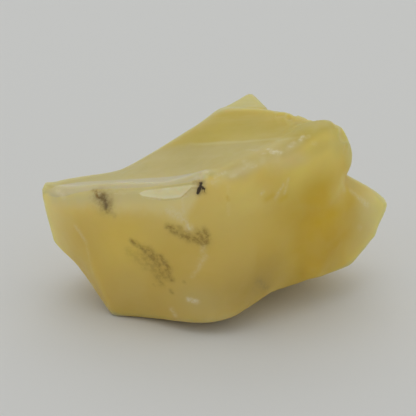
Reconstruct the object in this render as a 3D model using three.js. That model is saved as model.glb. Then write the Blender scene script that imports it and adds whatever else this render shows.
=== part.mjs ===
// Rough opal: one broken lump of milky yellow common opal, a single solid piece.
// Millimetres, +Z up. The lump rests on a flat facet in z = 0, its longest side runs along X and its
// broad bulging break faces -Y. The origin is the middle of the lump's footprint, on the ground.
//
// The skin is made of fracture surfaces. Each one is a thin plate sheet stretched through a few
// points of the break; the stone is what lies inside all the sheets of its main body, joined with
// the low lobe on the right and the spur at the back, and the edges where two breaks meet are worn
// round by a small amount.
import * as THREE from 'three';
import { mergeVertices } from 'three/addons/utils/BufferGeometryUtils.js';

// ---- driving dimensions ----
const FACETS = 17; // each icosahedron edge is cut into FACETS + 1
const HEART = [-0.85, -1.29, 10]; // a point from which all of the skin can be seen
const REACH = [2, 26]; // nearest and farthest the skin can be from the heart
const UNIT = 10; // length unit inside a sheet
const FLAT = 0.002; // points this close to the ground lie on it
const ROUNDS = 3; // times the points are moved about on the skin
const SHARP = 0.88; // cosine of the bend that counts as an edge
const SLIDE = 0.55; // how far a point may slide to an edge, of the way to its nearest neighbour
const HOLD = 0.05;

// how widely the edges are worn round, mm
const WORN = {
  belly: 2, // left and right halves of the front
  brow: 1.2, // front to the sloping band under the rim
  leftRidge: 0.7,
  nose: 1.8, // front to the right end
  backLeft: 0.4,
  backMid: 0.6,
  backRight: 0.6,
  rim: 0.35, // sharp edge round the hollow top
  keel: 1, // front to the underside
  lobeRidge: 0.6,
  lobeBack: 0.4,
  leftKeel: 0.5,
  foot: 0.25,
};

// flat cuts: a point on each and its outward direction
const CUTS = {
  base: { at: [-0.85, -1.29, 0], out: [0, 0, -1] },
  lobe_in: { at: [12.15, -1.29, 0], out: [-1, 0, 0] },
  lobe_top: { at: [13.15, -1.29, 15.3], out: [-0.148, -0.098, 0.984] },
  spur_top: { at: [4.16, 11.71, 20.06], out: [-0.03, 0.08, 0.996] },
  spur_in: { at: [-0.85, 6.11, 0], out: [0, -1, 0] },
};

// breaks: outward direction, how freely the sheet may miss its points, and the points
const BREAKS = {
  top_scoop: {
    out: [0, 0, 1], slack: 0.01,
    points: [
      [-18.06, -4.29, 14.68], [-14.08, -5.89, 15.76], [-8.89, -7.99, 16.9], [-4, -9.49, 17.99], [-1.19, -10.19, 19.49],
      [1.39, -10.49, 19.96], [3.51, -10.39, 21.02], [6.08, -9.89, 22.17], [8.33, -9.19, 22.51], [10.03, -8.29, 23.22],
      [12.91, -6.19, 23.4], [-20.02, -2.29, 14.49], [-18.04, -0.29, 14.25], [-14.66, 2.21, 13.81], [-10.96, 3.91, 13.74],
      [-6.5, 5.31, 16.02], [-1.79, 5.91, 18.92], [1.26, 5.51, 21.02], [4.06, 4.91, 21.2], [6.25, 3.91, 21.47],
      [8.07, 2.11, 22.03], [10.32, 0.31, 21.19], [12.56, -1.09, 22.22], [13.78, -2.29, 22.84], [14.6, -4.29, 21.86],
      [-12.74, -2.09, 14.85], [-8.7, -1.79, 15.89], [-4.06, -3.49, 17.08], [-4.1, 1.31, 17.09], [-0.05, -4.89, 18.97],
      [-0.04, 0.31, 19.11], [-0.04, 3.31, 19.81], [3.93, -4.49, 20.15], [3.98, -0.89, 19.91], [4.02, 2.11, 20.5],
      [7.92, -3.79, 21.42], [9.62, -3.49, 22.6], [-7.61, 1.71, 15.84],
    ],
  },
  front_left: {
    out: [-0.33, -0.944, 0], slack: 0.01,
    points: [
      [-16.12, -5.89, 10.86], [-15.1, -6.29, 9.27], [-14.33, -6.59, 6.86], [-13.32, -7.09, 3.89], [-12.12, -7.19, 0],
      [-9.83, -8.14, 0.5], [-7.08, -9.29, 0.8], [-3.63, -11.28, 1.3], [-1.2, -12.09, 1.6], [0.26, -12.36, 1.9],
      [-13.13, -7.89, 13.45], [-10.25, -8.99, 13.96], [-7.4, -9.99, 14.31], [-4, -11.29, 13.92], [-0.06, -11.99, 14.26],
      [-12.04, -8.09, 10.14], [-8.57, -9.8, 10.96], [-4.01, -11.39, 11.1], [-0.06, -12.29, 11.53], [-10.95, -8.28, 5.78],
      [-7.46, -9.97, 6.62], [-3.46, -11.48, 7.37], [-0.06, -12.3, 7.76], [-1.18, -12.17, 4.54], [-16.65, -5.89, 12.89],
    ],
  },
  front_upper: {
    out: [-0.169, -0.845, 0.507], slack: 0.01,
    points: [
      [-18.08, -4.39, 14.68], [-14.1, -5.95, 15.7], [-8.9, -8.07, 16.86], [-4.01, -9.55, 17.96], [-1.2, -10.28, 19.41],
      [1.38, -10.55, 19.95], [3.49, -10.47, 20.96], [6.06, -10, 22.1], [8.31, -9.28, 22.52], [-18.67, -4.3, 13.42],
      [-16.05, -6.19, 13.41], [-13.13, -7.89, 13.45], [-10.25, -8.99, 13.96], [-7.4, -9.99, 14.31], [-4, -11.29, 13.92],
      [-0.06, -11.89, 14.21], [2.74, -11.69, 15.11], [6.13, -10.69, 15.13], [8.4, -9.29, 16.97], [3.85, -11.19, 17.84],
      [-0.63, -11.19, 16.61], [-6.27, -9.59, 15.87], [-11.42, -7.6, 14.94],
    ],
  },
  front_right: {
    out: [0.447, -0.894, 0], slack: 0.01,
    points: [
      [1.61, -12.18, 14.35], [3.88, -11.61, 14.07], [6.72, -10.19, 13.4], [9.62, -8.09, 12.41], [12.56, -6.08, 11.47],
      [1.85, -12.38, 10.96], [5.04, -11.1, 10.32], [8.5, -8.57, 9.11], [11.71, -6.21, 7.95], [2.76, -12.05, 6.4],
      [5.67, -10.24, 7.1], [8.59, -7.73, 6.38], [2.33, -11.75, 2.3], [3.53, -10.64, 2.7], [5.01, -9.58, 3.1],
      [6.53, -7.82, 3.2], [8.06, -6.07, 3.2], [9.93, -5.16, 3.3], [12.33, -4.99, 3.6], [13.92, -3.44, 4],
      [12.68, -5.64, 7.66], [8.4, -9.2, 16.92], [11.28, -7.25, 16.05], [13.04, -5.9, 14.83], [8.36, -9.3, 20.06],
      [11.53, -7.42, 19.87], [13.64, -5.82, 19.07], [10.07, -8.37, 23.05], [12.95, -6.26, 23.24], [14.52, -4.77, 16.03],
      [3.85, -11.49, 17.36], [6.12, -10.49, 16.28],
    ],
  },
  right_nose: {
    out: [0.995, -0.1, 0], slack: 0.01,
    points: [
      [14.79, -4.31, 22.05], [15.26, -3.91, 21.13], [15.21, -3.46, 19.34], [15.36, -3.36, 18.42], [15.73, -3.52, 17.34],
      [14.96, -3.68, 16.42], [14.36, -5.3, 22.36], [14.75, -4.79, 19.91], [15.12, -4.71, 18], [15.43, 0.71, 20.5],
      [15.24, 0.75, 17], [13.91, 0.78, 13.5], [14.1, 4.7, 18], [13.4, 4.74, 13],
    ],
  },
  left_facet: {
    out: [-0.7, -0.7, -0.14], slack: 0.01,
    points: [
      [-16.12, -5.89, 10.86], [-15.09, -6.28, 9.28], [-14.36, -6.63, 6.86], [-13.34, -7.1, 3.89], [-12.11, -6.94, -0.02],
      [-20.18, -2.44, 14.05], [-19.83, -1.95, 11.01], [-19.36, -1.58, 8.76], [-18.94, -1.36, 6.73], [-18.04, -1.81, 5.74],
      [-16.53, -2.41, 4.47], [-15.02, -3.43, 2.75], [-13.55, -5.21, 1.3], [-18.44, -4.07, 13.46], [-17.47, -4.39, 10.28],
      [-16.35, -4.7, 7.86], [-18.24, -4.46, 14.58],
    ],
  },
  left_under: {
    out: [-0.727, 0.364, -0.582], slack: 0.01,
    points: [
      [-18.99, -1.23, 6.64], [-17.99, -1.66, 5.72], [-16.44, -2.27, 4.47], [-14.91, -3.28, 2.75], [-13.45, -5.08, 1.32],
      [-12.08, -6.8, -0.06], [-11.53, -1.3, 0.01], [-9.35, 4.71, -0], [-16.82, 1.7, 5.72], [-13.34, 5.21, 3.4],
      [-12.05, 1.71, 0.9], [-14.27, 0.72, 2.98],
    ],
  },
  back_left: {
    out: [-0.514, 0.857, 0], slack: 0.01,
    points: [
      [-20.06, -2.22, 14.08], [-19.77, -1.89, 11.02], [-19.28, -1.48, 8.78], [-18.91, -1.2, 6.74], [-18.03, -0.31, 14.12],
      [-14.56, 2.04, 13.63], [-11.02, 4, 13.64], [-6.62, 5.5, 15.85], [-17.14, 1.7, 7.5], [-13.35, 5.21, 6],
      [-8.85, 7.71, 4], [-15.66, 2.12, 10.5], [-11.88, 5.07, 10], [-6.82, 7.66, 10],
    ],
  },
  back_mid: {
    out: [-0.192, 0.962, 0.192], slack: 0.02,
    points: [
      [-6.5, 5.3, 15.84], [-1.8, 5.98, 18.87], [1.24, 5.57, 21.01], [4.05, 4.96, 21.07], [-6.88, 7.84, 10.03],
      [-5.84, 8.94, 6.99], [-8.87, 7.81, 4.02], [-2.81, 8.72, 12.96], [2.15, 8.7, 16], [-0.86, 10.34, 8.01],
      [4.15, 9.71, 12], [-1.84, 9.16, 2.99], [5.16, 8.28, 19],
    ],
  },
  back_right: {
    out: [0.498, 0.83, 0.249], slack: 0.02,
    points: [
      [4.08, 4.96, 21.08], [6.32, 4.03, 21.26], [7.98, 1.97, 21.51], [10.58, 0.73, 21.76], [12.45, -1.29, 22.11],
      [13.67, -2.47, 22.07], [14.75, -4.04, 22.13], [8.19, 5.77, 17.02], [12.13, 3.67, 16.99], [14.8, 0.66, 16.92],
      [11.15, 6.71, 12], [14.17, 4.74, 12.01], [7.14, 8.7, 12], [10.15, 8.21, 6], [6.15, 8.11, 18],
    ],
  },
  underside: {
    out: [0, 0, -1], slack: 0.02,
    points: [
      [-9.87, -8.24, 0.33], [-7.07, -9.27, 0.64], [-3.6, -11.19, 1.1], [-1.19, -12.07, 1.41], [0.29, -12.28, 1.71],
      [2.24, -11.56, 2.03], [3.5, -10.59, 2.35], [4.89, -9.35, 2.81], [6.31, -7.38, 3.13], [8.08, -6.09, 2.94],
      [9.85, -5, 3.05], [11.85, -4.03, 3.44], [13.96, -3.53, 3.67], [15.74, -2.83, 4.23], [-12.35, -6.89, -0.49],
      [-6.85, -6.89, -0.21], [-0.85, -6.29, 0.02], [2.65, -3.29, 0.07], [4.65, 0.71, 0.05], [5.15, 4.71, -0.04],
      [9.15, 2.71, 1.92], [13.15, 2.71, 3.82], [17.15, 3.71, 6.46], [8.15, 7.71, 1.59], [13.15, 7.71, 4.58],
      [-10.85, -1.29, -0.43], [-5.85, 0.71, -0.6], [-0.85, 4.71, -0.5],
    ],
  },
  lobe_front: {
    out: [0.514, -0.857, 0], slack: 0.02,
    points: [
      [12.57, -4.61, 11.7], [13.18, -3.9, 13.86], [14.37, -3.12, 14.64], [15.82, -2.11, 13.16], [17.01, -1.24, 11.64],
      [16.94, -1.24, 10.1], [16.52, -1.58, 8.31], [15.94, -2.83, 5.38], [13.89, -4.25, 8.26], [15.08, -3.07, 10],
      [13.75, -3.18, 4], [13.04, -3.72, 5.43],
    ],
  },
  lobe_side: {
    out: [0.816, -0.408, 0.408], slack: 0.02,
    points: [
      [14.3, -3.06, 14.61], [15.87, -2.12, 13.19], [17.06, -1.3, 11.65], [17, -1.31, 10.12], [16.63, -1.64, 8.36],
      [15.63, -2.44, 5.33], [14.86, -0.14, 14.74], [17.05, 0.89, 13.27], [18.34, 1.6, 11.99], [20.2, 1.45, 10.36],
      [19.57, 0.85, 8.74], [18.04, 0.5, 6.57], [17.54, -0.75, 5.39], [15.87, -2.89, 4.57],
    ],
  },
  lobe_back: {
    out: [0.498, 0.83, 0.249], slack: 0.02,
    points: [
      [15.24, -0.16, 14.93], [17.05, 1.08, 13.22], [18.59, 1.8, 12.02], [20.25, 1.94, 10.28], [19.23, 0.89, 8.36],
      [13.18, 6.25, 11.01], [16.21, 5.31, 8.03], [16.23, 3.01, 5.29], [11.19, 8.37, 8.02], [10.14, 7.2, 13],
    ],
  },
  spur_left: {
    out: [-0.8, 0.6, 0], slack: 0.02,
    points: [
      [0.99, 6.94, 20.28], [1.67, 8.26, 20.11], [2.53, 9.26, 20.04], [3.21, 10.69, 20.07], [3.98, 11.84, 20.06],
      [1.65, 11.11, 16], [0.12, 11.13, 12], [-2.85, 10.11, 8], [-1.82, 9.48, 13],
    ],
  },
  spur_right: {
    out: [0.8, 0.6, 0], slack: 0.02,
    points: [
      [4.3, 11.82, 20.06], [4.79, 10.86, 19.82], [5.36, 9.56, 19.48], [5.82, 8, 19.43], [6.67, 10.73, 15],
      [9.14, 9.3, 11], [10.16, 8.72, 8], [7.42, 9.16, 15],
    ],
  },
  spur_back: {
    out: [0, 1, 0], slack: 0.05,
    points: [
      [4.05, 11.95, 19.7], [3.85, 12.21, 15], [3.65, 12.21, 10], [3.15, 11.31, 5], [2.65, 9.71, 1],
      [-4.85, 10.21, 8], [10.15, 9.71, 9],
    ],
  },
};

// ---- thin plate sheets ----
function solve(a, b) {
  const n = b.length;
  for (let i = 0; i < n; i++) {
    let p = i;
    for (let r = i + 1; r < n; r++) if (Math.abs(a[r][i]) > Math.abs(a[p][i])) p = r;
    [a[i], a[p]] = [a[p], a[i]];
    [b[i], b[p]] = [b[p], b[i]];
    for (let r = i + 1; r < n; r++) {
      const k = a[r][i] / a[i][i];
      if (k === 0) continue;
      for (let c = i; c < n; c++) a[r][c] -= k * a[i][c];
      b[r] -= k * b[i];
    }
  }
  const x = new Array(n).fill(0);
  for (let i = n - 1; i >= 0; i--) {
    let s = b[i];
    for (let c = i + 1; c < n; c++) s -= a[i][c] * x[c];
    x[i] = s / a[i][i];
  }
  return x;
}

const plate = (r2) => 0.5 * r2 * Math.log(r2 + 1e-12);

// height of a point over one sheet, in mm, positive outside the stone
function sheet({ out, slack, points }) {
  const n = new THREE.Vector3(...out).normalize();
  const ref = Math.abs(n.z) < 0.75 ? new THREE.Vector3(0, 0, 1) : new THREE.Vector3(1, 0, 0);
  const t1 = ref.cross(n).normalize();
  const t2 = n.clone().cross(t1);
  const c = new THREE.Vector3();
  const pts = points.map((p) => new THREE.Vector3(...p));
  pts.forEach((p) => c.add(p));
  c.divideScalar(pts.length);
  const m = pts.length;
  const u = pts.map((p) => {
    const q = p.clone().sub(c);
    return [q.dot(t1) / UNIT, q.dot(t2) / UNIT, q.dot(n)];
  });
  const A = [];
  const B = [];
  for (let i = 0; i < m; i++) {
    const row = [];
    for (let j = 0; j < m; j++) {
      row.push(plate((u[i][0] - u[j][0]) ** 2 + (u[i][1] - u[j][1]) ** 2) + (i === j ? slack : 0));
    }
    row.push(1, u[i][0], u[i][1]);
    A.push(row);
    B.push(u[i][2]);
  }
  for (let k = 0; k < 3; k++) {
    const row = u.map((q) => (k === 0 ? 1 : q[k - 1]));
    row.push(0, 0, 0);
    A.push(row);
    B.push(0);
  }
  const w = solve(A, B);
  return (x, y, z) => {
    const qx = x - c.x, qy = y - c.y, qz = z - c.z;
    const s = (qx * t1.x + qy * t1.y + qz * t1.z) / UNIT;
    const t = (qx * t2.x + qy * t2.y + qz * t2.z) / UNIT;
    let v = w[m] + w[m + 1] * s + w[m + 2] * t;
    let gs = w[m + 1], gt = w[m + 2];
    for (let i = 0; i < m; i++) {
      const ds = s - u[i][0], dt = t - u[i][1], r2 = ds * ds + dt * dt, L = Math.log(r2 + 1e-9);
      v += w[i] * 0.5 * r2 * L;
      gs += w[i] * (L + 1) * ds;
      gt += w[i] * (L + 1) * dt;
    }
    const h = qx * n.x + qy * n.y + qz * n.z - v;
    return h / Math.sqrt(1 + (gs * gs + gt * gt) / (UNIT * UNIT));
  };
}

function cut({ at, out }) {
  const n = new THREE.Vector3(...out).normalize();
  const d = n.dot(new THREE.Vector3(...at));
  return (x, y, z) => n.x * x + n.y * y + n.z * z - d;
}

const side = {};
for (const [name, spec] of Object.entries(BREAKS)) side[name] = sheet(spec);
for (const [name, spec] of Object.entries(CUTS)) side[name] = cut(spec);

// both of two solids, and either of them, with the edge worn over a width k
function both(a, b, k) {
  const h = Math.max(k - Math.abs(a - b), 0) / k;
  return Math.max(a, b) + h * h * k * 0.25;
}
const either = (a, b, k) => -both(-a, -b, k);

// signed distance to the skin, positive outside
function skin(x, y, z) {
  const g = (name) => side[name](x, y, z);
  const under = g('underside');
  let body = both(g('front_left'), g('front_right'), WORN.belly);
  body = both(body, g('front_upper'), WORN.brow);
  body = both(body, g('left_facet'), WORN.leftRidge);
  body = both(body, g('right_nose'), WORN.nose);
  body = both(body, g('back_left'), WORN.backLeft);
  body = both(body, g('back_mid'), WORN.backMid);
  body = both(body, g('back_right'), WORN.backRight);
  body = both(body, g('top_scoop'), WORN.rim);
  body = both(body, under, WORN.keel);
  let lobe = both(g('lobe_front'), g('lobe_side'), WORN.lobeRidge);
  lobe = both(lobe, g('lobe_back'), WORN.lobeBack);
  lobe = both(lobe, g('lobe_in'), 1.0);
  lobe = both(lobe, g('lobe_top'), 0.6);
  lobe = both(lobe, under, 0.4);
  let spur = both(g('spur_left'), g('spur_right'), 0.4);
  spur = both(spur, g('spur_back'), 0.6);
  spur = both(spur, g('spur_top'), 0.3);
  spur = both(spur, g('spur_in'), 0.6);
  spur = both(spur, under, 0.6);
  let f = either(body, lobe, 1.4);
  f = either(f, spur, 0.5);
  f = both(f, g('left_under'), WORN.leftKeel);
  return both(f, g('base'), WORN.foot);
}

// ---- the lump: an icosahedron whose points are moved out to the skin ----
function lump() {
  let geometry = new THREE.IcosahedronGeometry(1, FACETS);
  geometry.deleteAttribute('normal');
  geometry.deleteAttribute('uv');
  geometry = mergeVertices(geometry, 1e-5);
  const pos = geometry.attributes.position;
  const count = pos.count;
  const P = [];
  const place = (v) => {
    const d = v.normalize();
    let lo = REACH[0], hi = REACH[1];
    for (let k = 0; k < 30; k++) {
      const r = (lo + hi) / 2;
      if (skin(HEART[0] + d.x * r, HEART[1] + d.y * r, HEART[2] + d.z * r) < 0) lo = r;
      else hi = r;
    }
    return new THREE.Vector3(...HEART).addScaledVector(d, (lo + hi) / 2);
  };
  for (let i = 0; i < count; i++) P.push(place(new THREE.Vector3().fromBufferAttribute(pos, i)));

  // neighbours of each point
  const index = geometry.index;
  const ring = P.map(() => new Set());
  for (let i = 0; i < index.count; i += 3) {
    const [a, b, c] = [index.getX(i), index.getX(i + 1), index.getX(i + 2)];
    ring[a].add(b).add(c);
    ring[b].add(a).add(c);
    ring[c].add(a).add(b);
  }

  // points near an edge between two breaks slide onto it, so that the edges stay clean lines, and
  // the other points spread out evenly between them
  const heart = new THREE.Vector3(...HEART);
  const e = 0.02;
  const slope = (p) => new THREE.Vector3(
    skin(p.x + e, p.y, p.z) - skin(p.x - e, p.y, p.z),
    skin(p.x, p.y + e, p.z) - skin(p.x, p.y - e, p.z),
    skin(p.x, p.y, p.z + e) - skin(p.x, p.y, p.z - e),
  ).normalize();
  const onEdge = new Array(count).fill(false);
  for (let round = 0; round < ROUNDS; round++) {
    const N = P.map(slope);
    const next = P.map((p, i) => {
      if (onEdge[i]) return p;
      const M = [[HOLD, 0, 0], [0, HOLD, 0], [0, 0, HOLD]];
      const R = [0, 0, 0];
      const middle = new THREE.Vector3();
      let near = Infinity, spread = 1;
      for (const j of [i, ...ring[i]]) {
        const n = [N[j].x, N[j].y, N[j].z];
        const d = N[j].dot(P[j].clone().sub(p));
        for (let a = 0; a < 3; a++) {
          for (let b = 0; b < 3; b++) M[a][b] += n[a] * n[b];
          R[a] += n[a] * d;
        }
        spread = Math.min(spread, N[j].dot(N[i]));
        if (j === i) continue;
        near = Math.min(near, P[j].distanceTo(p));
        middle.add(P[j]);
      }
      if (spread < SHARP) {
        const go = new THREE.Vector3(...solve(M, R));
        if (go.length() < SLIDE * near) {
          onEdge[i] = true;
          return place(p.clone().add(go).sub(heart));
        }
        return p;
      }
      if (round === 0) return p;
      middle.divideScalar(ring[i].size);
      return place(p.clone().lerp(middle, 0.5).sub(heart));
    });
    for (let i = 0; i < count; i++) P[i] = next[i];
  }

  for (let i = 0; i < count; i++) {
    const p = P[i];
    pos.setXYZ(i, p.x, p.y, Math.abs(p.z) < FLAT ? 0 : p.z);
  }
  geometry.computeVertexNormals();
  geometry.computeBoundingBox();
  return geometry;
}

const opal = new THREE.Mesh(
  lump(),
  new THREE.MeshStandardMaterial({ name: 'opal', color: new THREE.Color(0.69, 0.6, 0.33), roughness: 0.35, metalness: 0 }),
);
opal.name = 'opal';

const part = new THREE.Group();
part.add(opal);

export default part;
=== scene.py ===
# Rough opal, the look: one lump of milky yellow common opal. Metres, same frame as the CAD solid.
import bpy
import math
import numpy as np
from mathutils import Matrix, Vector


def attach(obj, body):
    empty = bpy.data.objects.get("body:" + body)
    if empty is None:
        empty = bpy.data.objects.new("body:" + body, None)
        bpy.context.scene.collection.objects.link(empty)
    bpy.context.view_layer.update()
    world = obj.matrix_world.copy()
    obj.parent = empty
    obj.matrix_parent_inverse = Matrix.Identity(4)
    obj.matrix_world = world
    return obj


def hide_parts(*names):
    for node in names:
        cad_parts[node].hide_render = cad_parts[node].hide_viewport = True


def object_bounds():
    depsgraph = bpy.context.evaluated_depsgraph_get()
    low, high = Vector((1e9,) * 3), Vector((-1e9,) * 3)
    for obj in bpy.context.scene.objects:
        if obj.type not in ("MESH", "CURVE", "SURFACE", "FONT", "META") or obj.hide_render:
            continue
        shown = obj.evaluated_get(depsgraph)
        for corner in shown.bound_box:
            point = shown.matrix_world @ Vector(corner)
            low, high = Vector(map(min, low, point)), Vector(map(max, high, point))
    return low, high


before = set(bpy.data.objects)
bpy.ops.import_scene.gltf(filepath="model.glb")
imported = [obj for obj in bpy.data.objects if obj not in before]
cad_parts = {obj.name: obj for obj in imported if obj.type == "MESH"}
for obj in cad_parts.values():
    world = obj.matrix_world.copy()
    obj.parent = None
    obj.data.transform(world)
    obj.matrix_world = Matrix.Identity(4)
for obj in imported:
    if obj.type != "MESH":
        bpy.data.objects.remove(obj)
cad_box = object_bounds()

MM = 0.001

# ------------------------------------------------------------------ shape tables (mm)
HEART = np.array([-0.85, -1.29, 10])
UNIT = 10.0
WORN = {"f": 2, "fu": 1.2, "l": 0.7, "nose": 1.8, "bl": 0.4, "bm": 0.6, "br": 0.6, "t": 0.35, "n12": 0.6, "n4": 0.4, "lu": 0.5, "u": 1}

CUTS = {
    "base": ([-0.85, -1.29, 0], [0, 0, -1]),
    "lobe_in": ([12.15, -1.29, 0], [-1, 0, 0]),
    "lobe_top": ([13.15, -1.29, 15.3], [-0.148, -0.098, 0.984]),
    "spur_top": ([4.16, 11.71, 20.06], [-0.03, 0.08, 0.996]),
    "spur_in": ([-0.85, 6.11, 0], [0, -1, 0]),
}

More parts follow.
